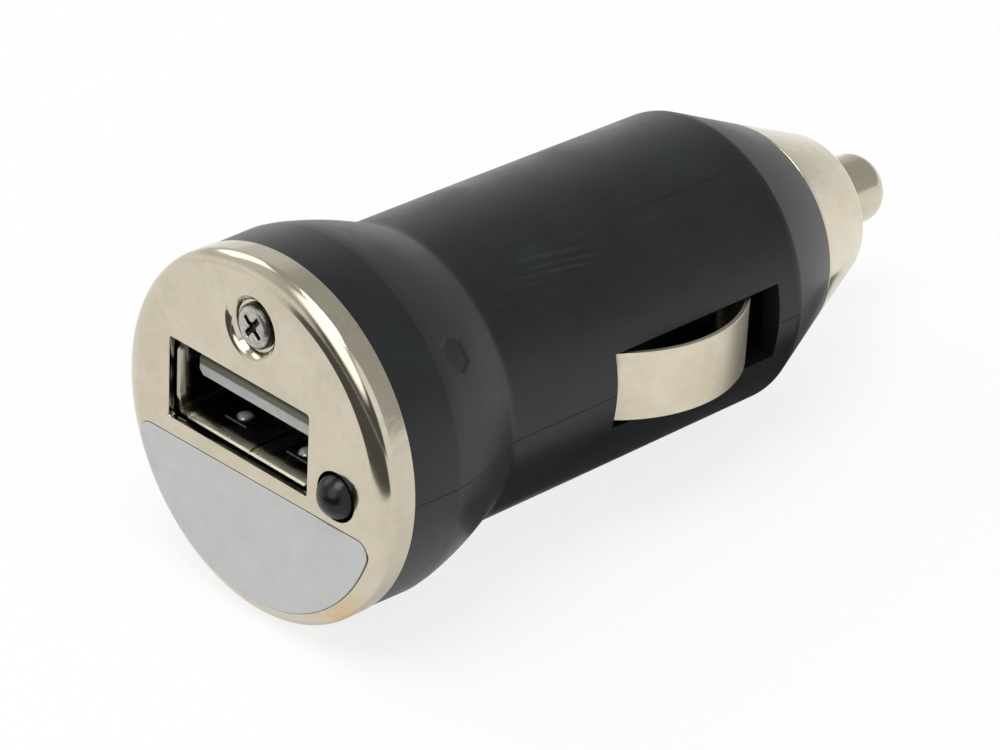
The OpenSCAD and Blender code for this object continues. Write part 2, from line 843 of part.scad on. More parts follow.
module ceramic_capacitor_a() {
  color([0.7, 0.55, 0.35])
    chip_part(-ceramic_l, coil_y, ceramic_l, 0.5, 0.38);
}

module ceramic_capacitor_b() {
  color([0.7, 0.55, 0.35])
    chip_part(ceramic_l, coil_y, ceramic_l, 0.5, 0.38);
}

module chip_resistor_a() {
  color([0.12, 0.12, 0.12])
    chip_part(-resistor_l, filter_y - part_gap, resistor_l, 0.62, 0.25);
}

module chip_resistor_b() {
  color([0.12, 0.12, 0.12])
    chip_part(resistor_l, filter_y - part_gap, resistor_l, 0.62, 0.25);
}

// A bowed spring strip with its leg and curled root
module side_contact() {
  strip_low = slot_z - strip_w / 2;
  inner_r = bow_r - strip_t;
  leg_x = bow_x + sqrt(inner_r * inner_r - pow(strip_end - strip_t - bow_y, 2)) + 0.1;
  ear_span = slot_w + 2 * ear_l;
  color(nickel)
    union() {
      intersection() {
        translate([bow_x, bow_y, strip_low])
          difference() {
            cylinder(h = strip_w, r = bow_r);
            translate([0, 0, -cut])
              cylinder(h = strip_w + 2 * cut, r = inner_r);
          }
        block([bow_x, strip_y, strip_low - cut], [bow_x + 2 * bow_r, strip_end,
          strip_low + strip_w + cut]);
      }
      block([root_x, strip_end - strip_t, strip_low], [leg_x, strip_end, strip_low + strip_w]);
      translate([root_x, root_y, slot_z - ear_span / 2])
        cylinder(h = ear_span, r = root_r);
    }
}

module right_side_contact() {
  side_contact();
}

module left_side_contact() {
  mirror([1, 0, 0])
    side_contact();
}

// A strap on the board that touches the contact's root
module ground_strap(side) {
  strap_x = root_x - root_r - fit;
  strap_in = board_tail - 1.4;
  strap_w = 0.8;
  color(nickel)
    translate([side * (strap_x + strap_in) / 2, root_y, board_z + strip_t / 2])
      cube([strap_x - strap_in, strap_w, strip_t], center = true);
}

module right_ground_strap() {
  ground_strap(1);
}

module left_ground_strap() {
  ground_strap(-1);
}

// The metal ring that holds the two shells together at the nose
module nose_ring() {
  steps = 6;
  front_r = ring_front_d / 2;
  bore_r = pin_d / 2 + pin_fit;
  rise = (ring_r - front_r) / ring_l;
  edge = [for (i = [0:steps]) [front_r - ring_round + ring_round * cos(90 * i / steps)
    + rise * ring_round * (1 - i / steps), ring_y - ring_round + ring_round * sin(90 * i / steps)]];
  color(nickel)
    spun(concat(
      [[neck_d / 2 + fit, nose_y], [ring_r, nose_y]],
      edge,
      [[bore_r, ring_y], [bore_r, ring_floor], [neck_d / 2 + fit, ring_floor]]
    ));
}

// The centre pin with its collar and the stub that guides the spring
module centre_pin() {
  steps = 8;
  pin_r = pin_d / 2;
  stub_r = spring_d / 2 - wire_d - 0.45;
  stub_l = 2;
  tip = [for (i = [0:steps]) [pin_r - pin_round + pin_round * cos(90 * i / steps),
    tip_y - pin_round + pin_round * sin(90 * i / steps)]];
  color(nickel)
    spun(concat(
      [[0, collar_y - stub_l], [stub_r, collar_y - stub_l], [stub_r, collar_y],
        [collar_d / 2, collar_y], [collar_d / 2, ring_floor], [pin_r, ring_floor]],
      tip,
      [[0, tip_y]]
    ));
}

// The coil spring behind the pin: rings of points along a screw line, joined into a tube
module pin_spring() {
  turns = 5.5;
  per_turn = 14;
  sides = 8;
  rings = turns * per_turn;
  mid_r = (spring_d - wire_d) / 2;
  y0 = spring_y + wire_d / 2;
  y1 = collar_y - wire_d / 2;
  points = [for (i = [0:rings]) for (j = [0:sides - 1])
    let (a = 360 * i / per_turn, b = 360 * (j + 0.5) / sides,
      r = mid_r + wire_d / 2 * cos(b), y = y0 + (y1 - y0) * i / rings + wire_d / 2 * sin(b))
    [r * cos(a), y, r * sin(a)]];
  walls = [for (i = [0:rings - 1]) for (j = [0:sides - 1])
    [i * sides + j, i * sides + (j + 1) % sides, (i + 1) * sides + (j + 1) % sides,
      (i + 1) * sides + j]];
  first = [[for (j = [sides - 1:-1:0]) j]];
  last = [[for (j = [0:sides - 1]) rings * sides + j]];
  color(steel)
    polyhedron(points, concat(walls, first, last));
}

// The round plate under the spring, with a tab that is soldered to the board
module spring_terminal() {
  tab_y = board_end - terminal_w;
  color(nickel)
    union() {
      bar(0, 0, chamber_y, spring_y, chamber_d / 2 - fit, chamber_d / 2 - fit);
      block([-terminal_w / 2, tab_y, board_low - terminal_t], [terminal_w / 2,
        chamber_y + terminal_t / 2, board_low]);
    }
}

upper_shell();
lower_shell();
face_plate();
face_screw();
blank_label();
indicator_lamp();
lamp_lead(1, upper_lead_y);  // lamp_upper_lead
lamp_lead(-1, lower_lead_y);  // lamp_lower_lead
usb_shell();
usb_tongue();
usb_contact(0);  // usb_power_contact
usb_contact(1);  // usb_minus_contact
usb_contact(2);  // usb_plus_contact
usb_contact(3);  // usb_ground_contact
circuit_board();
converter_chip();
chip_leads();
coil_core();
coil_winding();
input_capacitor();
output_capacitor();
filter_capacitor();
rectifier_diode();
ceramic_capacitor_a();
ceramic_capacitor_b();
chip_resistor_a();
chip_resistor_b();
right_side_contact();
left_side_contact();
right_ground_strap();
left_ground_strap();
nose_ring();
centre_pin();
pin_spring();
spring_terminal();
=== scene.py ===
import math
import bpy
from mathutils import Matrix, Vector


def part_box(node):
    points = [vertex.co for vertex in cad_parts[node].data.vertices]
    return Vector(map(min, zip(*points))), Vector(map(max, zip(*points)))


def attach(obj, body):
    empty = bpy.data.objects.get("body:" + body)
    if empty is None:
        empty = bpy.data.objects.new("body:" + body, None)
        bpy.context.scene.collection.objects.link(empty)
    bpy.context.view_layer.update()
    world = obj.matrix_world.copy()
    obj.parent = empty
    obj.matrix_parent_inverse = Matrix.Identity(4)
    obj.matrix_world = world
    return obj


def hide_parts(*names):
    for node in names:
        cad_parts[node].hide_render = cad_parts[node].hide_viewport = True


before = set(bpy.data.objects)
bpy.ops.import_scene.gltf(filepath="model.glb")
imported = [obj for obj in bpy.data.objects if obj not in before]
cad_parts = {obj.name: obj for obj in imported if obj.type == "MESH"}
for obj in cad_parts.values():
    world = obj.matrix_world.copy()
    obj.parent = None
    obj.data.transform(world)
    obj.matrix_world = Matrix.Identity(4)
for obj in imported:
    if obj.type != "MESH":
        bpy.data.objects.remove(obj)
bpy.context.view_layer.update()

from types import SimpleNamespace

import bmesh
import bpy
import numpy as np
from mathutils import Matrix, Vector
from mathutils.geometry import tessellate_polygon

# Car charger plug. All shape values are in mm; the meshes are written in metres.
# +Y runs from the face to the nose pin, +Z up to the screw, +X towards the lamp.

mm = 0.001


# Camera

cameraSet = {
    "azimuth": 44.35,      # degrees round from the face's own direction
    "elevation": 29.11,
    "roll": 3.16,
    "distance": 274.0,
    "right": 6.32,         # sideways and upward offset of the camera
    "up": 0.27,
    "lens": 155.6, "sensor": 36,
    "near": 0.01, "far": 20,    # metres
}


# A direction from its turn round from the face and its rise, both in degrees. The flat part
# shrinks with the cosine of the rise, and the turn's sine and cosine share it out.
def towards(azimuth, elevation):
    az, el = math.radians(azimuth), math.radians(elevation)
    return Vector((math.sin(az) * math.cos(el), -math.cos(az) * math.cos(el), math.sin(el)))


# The camera looks back along a line given by azimuth and elevation, is turned by roll about
# that line, and is then moved sideways and up in its own picture plane.
def placeCamera(c):
    back = towards(c["azimuth"], c["elevation"])
    az, roll = math.radians(c["azimuth"]), math.radians(c["roll"])
    flat = Vector((math.cos(az), math.sin(az), 0))
    upright = back.cross(flat)
    right = flat * math.cos(roll) + upright * math.sin(roll)
    up = upright * math.cos(roll) - flat * math.sin(roll)
    place = (back * c["distance"] + right * c["right"] + up * c["up"]) * mm
    data = bpy.data.cameras.new("camera")
    data.sensor_width, data.lens = c["sensor"], c["lens"]
    data.clip_start, data.clip_end = c["near"], c["far"]
    camera = bpy.data.objects.new("camera", data)
    turn = Matrix((right, up, back)).transposed()
    camera.matrix_world = Matrix.Translation(place) @ turn.to_4x4()
    bpy.context.scene.collection.objects.link(camera)
    bpy.context.scene.camera = camera


placeCamera(cameraSet)
print("camera placed")


# Mesh helpers

meshSet = {
    "merge": 1e-6, "thin": 1e-7,    # metres: closer points are joined, thinner faces go
    "flat": 1, "sharp": 35,         # degrees: smaller turns are joined, larger ones stay sharp
}


# A line through corners with each corner rounded: the arc starts and ends where a circle of
# the given radius touches the two sides, and its points are turned evenly between them.
def roundedPath(corners, radii, steps=8):
    corners = np.asarray(corners, float)
    out = [corners[0]]
    for i in range(1, len(corners) - 1):
        here, r = corners[i], radii[i]
        if r <= 0:
            out.append(here)
            continue
        a = corners[i - 1] - here
        b = corners[i + 1] - here
        a, b = a / np.linalg.norm(a), b / np.linalg.norm(b)
        half = math.acos(float(np.clip(a @ b, -1, 1))) / 2
        centre = here + (a + b) / np.linalg.norm(a + b) * r / math.sin(half)
        start, end = here + a * r / math.tan(half) - centre, here + b * r / math.tan(half) - centre
        sweep = math.pi - 2 * half
        k = np.linspace(0, 1, steps + 1)[:, None]
        out += list(centre + (start * np.sin((1 - k) * sweep) + end * np.sin(k * sweep)) / math.sin(sweep))
    out.append(corners[-1])
    return np.array(out)


# Points of a [radius, y] profile turned about the Y axis, or about a line beside it:
# x is radius times cosine and z is radius times sine of the turn.
def spin(profile, sides, centre=(0, 0)):
    turn = np.linspace(0, 2 * np.pi, sides, endpoint=False)[:, None]
    r, y = profile[None, :, 0], profile[None, :, 1]
    x, z = r * np.cos(turn) + centre[0], r * np.sin(turn) + centre[1]
    return np.stack(np.broadcast_arrays(x, y, z), -1)


# Four-sided faces between neighbouring points of a grid, closed round either way if asked.
def gridFaces(rows, cols, closeRows=False, closeCols=False, keep=None):
    i = np.arange(rows if closeRows else rows - 1)[:, None]
    j = np.arange(cols if closeCols else cols - 1)[None, :]
    i2, j2 = (i + 1) % rows, (j + 1) % cols
    quads = np.stack([i * cols + j, i2 * cols + j, i2 * cols + j2, i * cols + j2], -1)
    return quads[keep] if keep is not None else quads.reshape(-1, 4)


def gridPart(points, closeRows=False, closeCols=False, keep=None):
    rows, cols = points.shape[:2]
    return points.reshape(-1, 3), gridFaces(rows, cols, closeRows, closeCols, keep)


# A flat sheet at one y between an outer outline and its holes, each given as x and z.
def flatPart(loops, y):
    tris = tessellate_polygon([[Vector((p[0], p[1], 0)) for p in loop] for loop in loops])
    flat = np.concatenate(loops)
    points = np.stack([flat[:, 0], np.full(len(flat), y), flat[:, 1]], -1)
    return points, np.array(tris)


# Points x and z on a circle: radius times cosine and sine of the turn, from the centre
def arcPoints(centre, r, turn):
    return np.stack([centre[0] + r * np.cos(turn), centre[1] + r * np.sin(turn)], -1)


def circle(centre, r, sides):
    return arcPoints(centre, r, np.linspace(0, 2 * np.pi, sides, endpoint=False))


# A rounded rectangle: each corner is a quarter circle about a point inside the corner.
def roundedBox(centre, width, height, r, steps=6):
    quarter = np.linspace(0, np.pi / 2, steps + 1)
    out = []
    for k, (sx, sz) in enumerate(((1, 1), (-1, 1), (-1, -1), (1, -1))):
        corner = centre[0] + sx * (width / 2 - r), centre[1] + sz * (height / 2 - r)
        out.append(arcPoints(corner, r, quarter + k * np.pi / 2))
    return np.concatenate(out)


def smoothStep(x, low, high):
    t = np.clip((x - low) / (high - low), 0, 1)
    return t * t * (3 - 2 * t)


# Writes a worked mesh into a new piece, shaded smooth with its sharp edges kept.
def finishPiece(name, mesh, work, body, material, stands):
    work.to_mesh(mesh)
    work.free()
    mesh.polygons.foreach_set("use_smooth", np.ones(len(mesh.polygons), bool))
    mesh.set_sharp_from_angle(angle=math.radians(meshSet["sharp"]))
    mesh.materials.append(material)
    piece = bpy.data.objects.new(name, mesh)
    bpy.context.scene.collection.objects.link(piece)
    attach(piece, body)
    if stands:
        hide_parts(*stands)
    return piece


# Joins parts in mm into one mesh in metres, closes its seams and turns its faces outward.
def makePiece(name, parts, body, material, stands=(), outward=True):
    points, faces, start = [], [], 0
    for part, cells in parts:
        points.append(part)
        faces += (np.asarray(cells) + start).tolist()
        start += len(part)
    mesh = bpy.data.meshes.new(name)
    mesh.from_pydata((np.concatenate(points) * mm).tolist(), [], faces)
    work = bmesh.new()
    work.from_mesh(mesh)
    bmesh.ops.remove_doubles(work, verts=work.verts, dist=meshSet["merge"])
    bmesh.ops.dissolve_degenerate(work, edges=work.edges, dist=meshSet["thin"])
    if outward:
        bmesh.ops.recalc_face_normals(work, faces=work.faces)
    return finishPiece(name, mesh, work, body, material, stands)


def roundEdges(piece, width, steps, angle):
    bevel = piece.modifiers.new("roundedEdges", "BEVEL")
    bevel.width, bevel.segments = width * mm, steps
    bevel.limit_method, bevel.angle_limit = "ANGLE", math.radians(angle)
    bevel.harden_normals = True


# Material helpers

def newMaterial(name, **shaderValues):
    material = bpy.data.materials.new(name)
    material.use_nodes = True
    tree = material.node_tree
    shader = tree.nodes["Principled BSDF"]
    for socket, value in shaderValues.items():
        shader.inputs[socket.replace("_", " ")].default_value = value
    return material, tree, shader


def addNode(tree, kind, inputs=None, **settings):
    made = tree.nodes.new(kind)
    for key, value in settings.items():
        setattr(made, key, value)
    for key, value in (inputs or {}).items():
        if isinstance(value, bpy.types.NodeSocket):
            tree.links.new(value, made.inputs[key])
        else:
            made.inputs[key].default_value = value
    return made


def calc(tree, operation, a, b=0.0, c=None):
    return addNode(tree, "ShaderNodeMath", {0: a, 1: b} if c is None else {0: a, 1: b, 2: c},
                   operation=operation).outputs[0]


def times(tree, a, b):
    return calc(tree, "MULTIPLY", a, b)


# Position on the piece, moved to a centre and stretched, in metres.
def place(tree, centre=(0, 0, 0), stretch=(1, 1, 1)):
    where = addNode(tree, "ShaderNodeTexCoord").outputs["Object"]
    moved = addNode(tree, "ShaderNodeVectorMath", {0: where, 1: tuple(c * mm for c in centre)},
                    operation="SUBTRACT").outputs[0]
    return addNode(tree, "ShaderNodeVectorMath", {0: moved, 1: stretch},
                   operation="MULTIPLY").outputs[0]


# The x, y and z of the position on the piece, in metres
def axes(tree):
    return addNode(tree, "ShaderNodeSeparateXYZ", {0: place(tree)}).outputs


# Noise with grains of a given size in mm
def grain(tree, size, detail=3, rough=0.55, stretch=(1, 1, 1)):
    return addNode(tree, "ShaderNodeTexNoise",
                   {"Vector": place(tree, stretch=stretch), "Scale": 1 / (size * mm),
                    "Detail": detail, "Roughness": rough}).outputs["Fac"]


# Noise along one value, as lines of a given width in mm
def lineNoise(tree, value, width, detail):
    return addNode(tree, "ShaderNodeTexNoise",
                   {"W": times(tree, value, 1 / (width * mm)), "Scale": 1.0, "Detail": detail},
                   noise_dimensions="1D").outputs["Fac"]


def remap(tree, value, low, high, toLow=0.0, toHigh=1.0, smooth=False):
    return addNode(tree, "ShaderNodeMapRange",
                   {"Value": value, "From Min": low, "From Max": high, "To Min": toLow,
                    "To Max": toHigh},
                   interpolation_type="SMOOTHSTEP" if smooth else "LINEAR").outputs["Result"]


# Grows softly from 0 to 1 between two places in mm
def rise(tree, value, low, high):
    return remap(tree, value, low * mm, high * mm, 0, 1, True)


def mixColour(tree, share, a, b):
    def full(c):
        return c if isinstance(c, bpy.types.NodeSocket) else (*c, 1)
    return addNode(tree, "ShaderNodeMix", {0: share, 6: full(a), 7: full(b)},
                   data_type="RGBA").outputs[2]


# A soft round spot: 1 at its middle and 0 from its radius outward
def spot(tree, centre, radius):
    away = addNode(tree, "ShaderNodeVectorMath", {0: place(tree, centre)},
                   operation="LENGTH").outputs["Value"]
    return remap(tree, away, 0, radius * mm, 1, 0, smooth=True)


def bump(tree, shader, height, strength, depth, under=None):
    inputs = {"Height": height, "Strength": strength, "Distance": depth * mm}
    if under is not None:
        inputs["Normal"] = under
    made = addNode(tree, "ShaderNodeBump", inputs).outputs[0]
    tree.links.new(made, shader.inputs["Normal"])
    return made


def wire(tree, shader, socket, value):
    tree.links.new(value, shader.inputs[socket])


# Materials

plasticSet = {
    "dark": (0.0065, 0.0066, 0.0068), "cool": (0.0085, 0.0120, 0.0125),    # the cloud's tones
    "worn": (0.050, 0.062, 0.066),    # streaks and scuffs
    "cloud": 5, "streak": 0.12, "skin": 0.09, "waves": 6,    # sizes of the noises
    # the shoulder's lighter colour is painted sheen: the light its slope reflects, painted on as colour
    "shoulder": (0.0165, 0.0185, 0.0195), "shoulderY": (-6.55, 0.0), "fade": 0.12,
    # the nose cone's much lighter colour is a painted reflection of the bright floor behind it
    "cone": (0.060, 0.063, 0.060), "coneY": (26.45, 26.6),
    "mark": ((8.75, -4.4, 6.9), 1.9),    # the moulding mark is duller than its surroundings
    "markTone": (0.003, 0.003, 0.003),
    "roughness": (0.30, 0.46),
    "scuffTurn": 53, "scuffWide": 16, "scuffY": 8.0, "scuffLong": 12.0,
    "scratch": 0.42, "scratchLean": 0.14, "barrelR": 10.3,
    "lineTurn": 62, "lineWide": 0.7, "lineY": 20, "lineLong": 7,    # the faint dark line
    "lineTone": (0.002, 0.002, 0.002),
}


# Black moulded plastic: cloudy cool tone, fine streaks along the axis and a skin texture, with painted sheen
# on the shoulder and the nose cone.
# The turn round the axis is the arctangent of z over x; a scuffed patch of slanting scratches
# and a faint dark line are placed by that turn and by the place along the axis.
def blackPlastic():
    s = SimpleNamespace(**plasticSet)
    material, tree, shader = newMaterial("blackPlastic", IOR=1.45, Specular_IOR_Level=0.46)
    cloud = grain(tree, s.cloud, 4)
    streak = remap(tree, grain(tree, s.streak, 2, 0.6, (1, 0.03, 1)), 0.52, 0.75)
    x, along, z = axes(tree)
    turn = calc(tree, "ARCTAN2", z, x)

    # 1 within a quarter of the reach from the middle, fading to 0 at the reach
    def near(value, middle, reach):
        away = calc(tree, "ABSOLUTE", calc(tree, "SUBTRACT", value, middle))
        return remap(tree, away, reach * 0.25, reach, 1, 0, True)

    patch = times(tree, near(turn, math.radians(s.scuffTurn), math.radians(s.scuffWide)),
                  near(along, s.scuffY * mm, s.scuffLong * mm))
    slant = calc(tree, "MULTIPLY_ADD", along, s.scratchLean, times(tree, turn, s.barrelR * mm))
    scratches = remap(tree, lineNoise(tree, slant, s.scratch, 4.0), 0.46, 0.72)
    broken = remap(tree, grain(tree, 2.6, 3, 0.5, (1, 0.35, 1)), 0.42, 0.62)
    scuff = times(tree, times(tree, patch, broken), scratches)
    thin = times(tree, near(turn, math.radians(s.lineTurn), math.radians(s.lineWide)),
                 near(along, s.lineY * mm, s.lineLong * mm))

    colour = mixColour(tree, remap(tree, cloud, 0.38, 0.66), s.dark, s.cool)
    # painted sheen: the shoulder between its two places gets a lighter colour for the light it reflects
    first, last = s.shoulderY
    shoulder = times(tree, rise(tree, along, first, first + s.fade),
                     remap(tree, along, (last - s.fade) * mm, last * mm, 1, 0, True))
    colour = mixColour(tree, shoulder, colour, s.shoulder)
    # painted reflection: the nose cone gets a much lighter colour for the floor it reflects
    colour = mixColour(tree, rise(tree, along, *s.coneY), colour, s.cone)
    mark = remap(tree, spot(tree, *s.mark), 0.1, 0.6, 0, 0.85, True)
    colour = mixColour(tree, mark, colour, s.markTone)
    colour = mixColour(tree, times(tree, streak, 0.06), colour, s.worn)
    colour = mixColour(tree, times(tree, scuff, 0.3), colour, s.worn)
    wire(tree, shader, "Base Color", mixColour(tree, thin, colour, s.lineTone))

    rough = calc(tree, "MULTIPLY_ADD", streak, 0.12, cloud)
    rough = calc(tree, "MULTIPLY_ADD", scuff, 0.5, rough)
    wire(tree, shader, "Roughness", remap(tree, rough, 0.35, 0.85, *s.roughness))
    skin = bump(tree, shader, grain(tree, s.skin, 2), 0.12, 0.01)
    bump(tree, shader, grain(tree, s.waves, 1), 0.25, 0.04, skin)
    return material


nickelTones = {
    "bright": (0.66, 0.605, 0.485), "dull": (0.585, 0.53, 0.405),
    # the rubbed tone is wear, darkened further as painted shade for the dark reflection on the rim
    "gold": (0.66, 0.46, 0.22), "rubbedAndShaded": (0.36, 0.33, 0.26),
}
nickelSizes = {    # mm
    "cloud": 3.5, "smear": 0.6, "stain": 2.2, "rub": 0.5, "rings": 0.12, "pits": 0.15, "wave": 4.5,
}


# Warm nickel plating: cloudy tone and roughness, soft waves of the sheet, and tiny pits or the
# fine rings left by a lathe. waves says how far the sheet is from flat, lift scales the plating's
# colour, and fine how deep the pits are. A lift above 1 is painted light.
def nickel(name, rough, waves, turned=False, tinted=None, marks=(), lift=1.0, fine=0.005):
    s = nickelSizes
    tones = {key: tuple(c * lift for c in value) for key, value in nickelTones.items()}
    material, tree, shader = newMaterial(name, Metallic=1.0)
    cloud = grain(tree, s["cloud"], 4)
    smear = grain(tree, s["smear"], 3, 0.6, (1, 0.4, 1))
    tone = calc(tree, "MULTIPLY_ADD", smear, 0.3, times(tree, cloud, 0.7))
    colour = mixColour(tree, remap(tree, tone, 0.36, 0.66), tones["bright"], tones["dull"])
    if tinted:
        stain = times(tree, spot(tree, *tinted), remap(tree, grain(tree, s["stain"]), 0.3, 0.6))
        colour = mixColour(tree, stain, colour, tones["gold"])
    mixed = calc(tree, "MULTIPLY_ADD", smear, 0.5, times(tree, cloud, 0.5))
    roughness = remap(tree, mixed, 0.35, 0.7, *rough)
    # the rubbed patches are wear with scratches, and their darker colour is also painted shade for the rim's
    # dark reflection there
    for centre, radius in marks:  # rubbed patches: rougher and a little darker
        broken = remap(tree, grain(tree, s["rub"], 3, 0.6, (1, 0.5, 1)), 0.42, 0.62)
        rubbedAndShaded = times(tree, spot(tree, centre, radius), broken)
        roughness = calc(tree, "MULTIPLY_ADD", rubbedAndShaded, 0.3, roughness)
        colour = mixColour(tree, times(tree, rubbedAndShaded, 0.6), colour, tones["rubbedAndShaded"])
    wire(tree, shader, "Base Color", colour)
    wire(tree, shader, "Roughness", roughness)
    if turned:
        under = bump(tree, shader, lineNoise(tree, axes(tree)[1], s["rings"], 2.0), 0.15, 0.006)
    else:
        under = bump(tree, shader, grain(tree, s["pits"], 2), 0.1, fine)
    bump(tree, shader, grain(tree, s["wave"], 1), 0.5, waves, under)
    return material


# A colour, a roughness varied by noise of one size in mm, and bumps of another size
def surface(tree, shader, colour, size, rough, bumps, detail, strength, depth):
    wire(tree, shader, "Base Color", colour)
    wire(tree, shader, "Roughness", remap(tree, grain(tree, size, 3), 0.3, 0.7, *rough))
    bump(tree, shader, grain(tree, bumps, detail), strength, depth)


# A plain finish with a cloudy tone, a varied roughness and a fine skin
def simple(name, dark, pale, rough, size, metallic=0.0, skin=0.2, **values):
    material, tree, shader = newMaterial(name, Metallic=metallic, **values)
    colour = mixColour(tree, remap(tree, grain(tree, size, 4), 0.3, 0.7), dark, pale)
    surface(tree, shader, colour, size / 3, rough, size / 6, 2, skin, 0.01)
    return material


socketSteelSet = {
    "mouth": ((0.46, 0.44, 0.36), (0.36, 0.34, 0.27)),
    # inside is the darker colour deeper in: painted shade inside the unlit socket
    "inside": (0.10, 0.10, 0.105), "insideShadeY": (-11.15, -10.75),
    "worn": (0.5, 0.5, 0.47), "bumps": ((1.47, -9.2, -1.2), (-4.33, -9.2, -1.2)), "bumpReach": 0.8,
}


# The socket's steel is bright at its flared mouth; further in its colour is darkened as painted
# shade. Plugs have worn its two bumps bright.
def socketSteel():
    s = socketSteelSet
    material, tree, shader = newMaterial("socketSteel", Metallic=1.0)
    cloud = remap(tree, grain(tree, 1.2, 3), 0.3, 0.7, 0, 0.2)
    colour = mixColour(tree, cloud, *s["mouth"])
    # painted shade: the steel turns dark beyond the mouth, where the socket is unlit
    colour = mixColour(tree, rise(tree, axes(tree)[1], *s["insideShadeY"]), colour, s["inside"])
    bumps = calc(tree, "MAXIMUM", *(spot(tree, centre, s["bumpReach"]) for centre in s["bumps"]))
    bumps = remap(tree, bumps, 0.1, 0.5, 0, 1, True)
    colour = mixColour(tree, bumps, colour, s["worn"])
    wire(tree, shader, "Metallic", remap(tree, bumps, 0, 1, 1, 0.2))
    surface(tree, shader, colour, 0.9, (0.2, 0.3), 0.5, 1, 0.1, 0.003)
    return material


layeredSet = {    # cloud and wave are noise: its size and detail, or its size and height
    "screwSteel": {
        "tones": ((0.34, 0.33, 0.30), (0.58, 0.57, 0.53)), "cloud": (0.5, 4),
        # painted shade: the screw turns dark deep in its cross and round its sunk edge
        "paintedShade": (0.05, 0.045, 0.035), "axis": 1, "places": (-12.36, -12.22), "wave": (0.3, 0.06),
        "surface": (0.3, (0.18, 0.34), 0.25, 1, 0.25, 0.01),
    },
    "tonguePlastic": {
        "tones": ((0.46, 0.475, 0.45), (0.54, 0.555, 0.53)), "cloud": (0.8, 3),
        # painted shade: the tongue's top bevel turns dark where the cap's edge shades it
        "paintedShade": (0.13, 0.125, 0.09), "axis": 2, "places": (1.98, 2.12), "wave": (0.5, 0.1),
        "surface": (0.4, (0.45, 0.6), 0.1, 2, 0.2, 0.01),
    },
}


# A cloudy finish that turns darker from between two places along an axis, waved by noise: painted
# shade deep in the screw's cross and round its edge, and on the tongue's top bevel under the cap.
def withPaintedShade(name, **values):
    s = layeredSet[name]
    material, tree, shader = newMaterial(name, **values)
    cloud = remap(tree, grain(tree, *s["cloud"]), 0.3, 0.7)
    size, height = s["wave"]
    level = calc(tree, "MULTIPLY_ADD", grain(tree, size, 2), height * mm, axes(tree)[s["axis"]])
    colour = mixColour(tree, cloud, *s["tones"])
    # painted shade beyond the given places along the axis
    colour = mixColour(tree, rise(tree, level, *s["places"]), colour, s["paintedShade"])
    surface(tree, shader, colour, *s["surface"])
    return material


finish = {
    "plastic": blackPlastic(),
    "face": nickel("faceNickel", (0.10, 0.17), 0.016, lift=0.96, tinted=((8.4, -12.0, -8.6), 3.4),
                   marks=(((6.4, -11.0, 10.4), 1.5), ((10.9, -10.8, 5.5), 1.5))),
    # the strip and the ring get a brighter colour than the face: painted light for the stronger light on
    # them
    "strip": nickel("stripNickel", (0.34, 0.42), 0.004, lift=1.16, fine=0.001),
    "ring": nickel("ringNickel", (0.16, 0.24), 0.006, turned=True, lift=1.12),
    "pin": nickel("pinNickel", (0.12, 0.2), 0.004, turned=True),
    "screw": withPaintedShade("screwSteel", Metallic=1.0),
    "label": simple("labelFilm", (0.50, 0.51, 0.50), (0.54, 0.55, 0.54), (0.45, 0.6), 1.5, skin=0.1),
    "glue": simple("darkLabelEdge", (0.05, 0.045, 0.035), (0.09, 0.08, 0.06), (0.6, 0.8), 0.5),
    "lamp": simple("lampResin", (0.0025, 0.0025, 0.003), (0.004, 0.0038, 0.006), (0.22, 0.3), 0.8, skin=0.02,
                   IOR=1.4),
    "socket": socketSteel(),
    "tongue": withPaintedShade("tonguePlastic", IOR=1.5),
    "gilt": simple("giltContact", (0.75, 0.55, 0.22), (0.88, 0.68, 0.32), (0.2, 0.32), 0.4, 1.0),
    # the board's green is darkened as painted shade for the dark inside of the housing
    "board": simple("boardMask", (0.004, 0.016, 0.009), (0.006, 0.026, 0.013), (0.35, 0.5), 0.8),
    "chip": simple("chipBlack", (0.012, 0.012, 0.013), (0.022, 0.022, 0.024), (0.5, 0.7), 0.3),
    "tinned": simple("tinnedMetal", (0.50, 0.50, 0.48), (0.62, 0.62, 0.60), (0.25, 0.4), 0.4, 1.0),
    "dull": simple("dulledMetal", (0.05, 0.045, 0.035), (0.10, 0.09, 0.07), (0.45, 0.6), 0.6, 1.0),
    "ferrite": simple("ferriteBody", (0.02, 0.02, 0.022), (0.04, 0.04, 0.044), (0.6, 0.8), 0.3),
    "copper": simple("copperWire", (0.45, 0.16, 0.06), (0.62, 0.27, 0.11), (0.25, 0.4), 0.3, 1.0),
    "can": simple("canSleeve", (0.012, 0.016, 0.045), (0.02, 0.026, 0.07), (0.3, 0.4), 1.0),
    "ceramic": simple("ceramicBody", (0.42, 0.3, 0.16), (0.52, 0.38, 0.22), (0.5, 0.65), 0.3),
    "wire": simple("springWire", (0.5, 0.5, 0.48), (0.66, 0.66, 0.63), (0.25, 0.4), 0.3, 1.0),
}
print("materials made:", len(finish))


# Carried-over CAD nodes

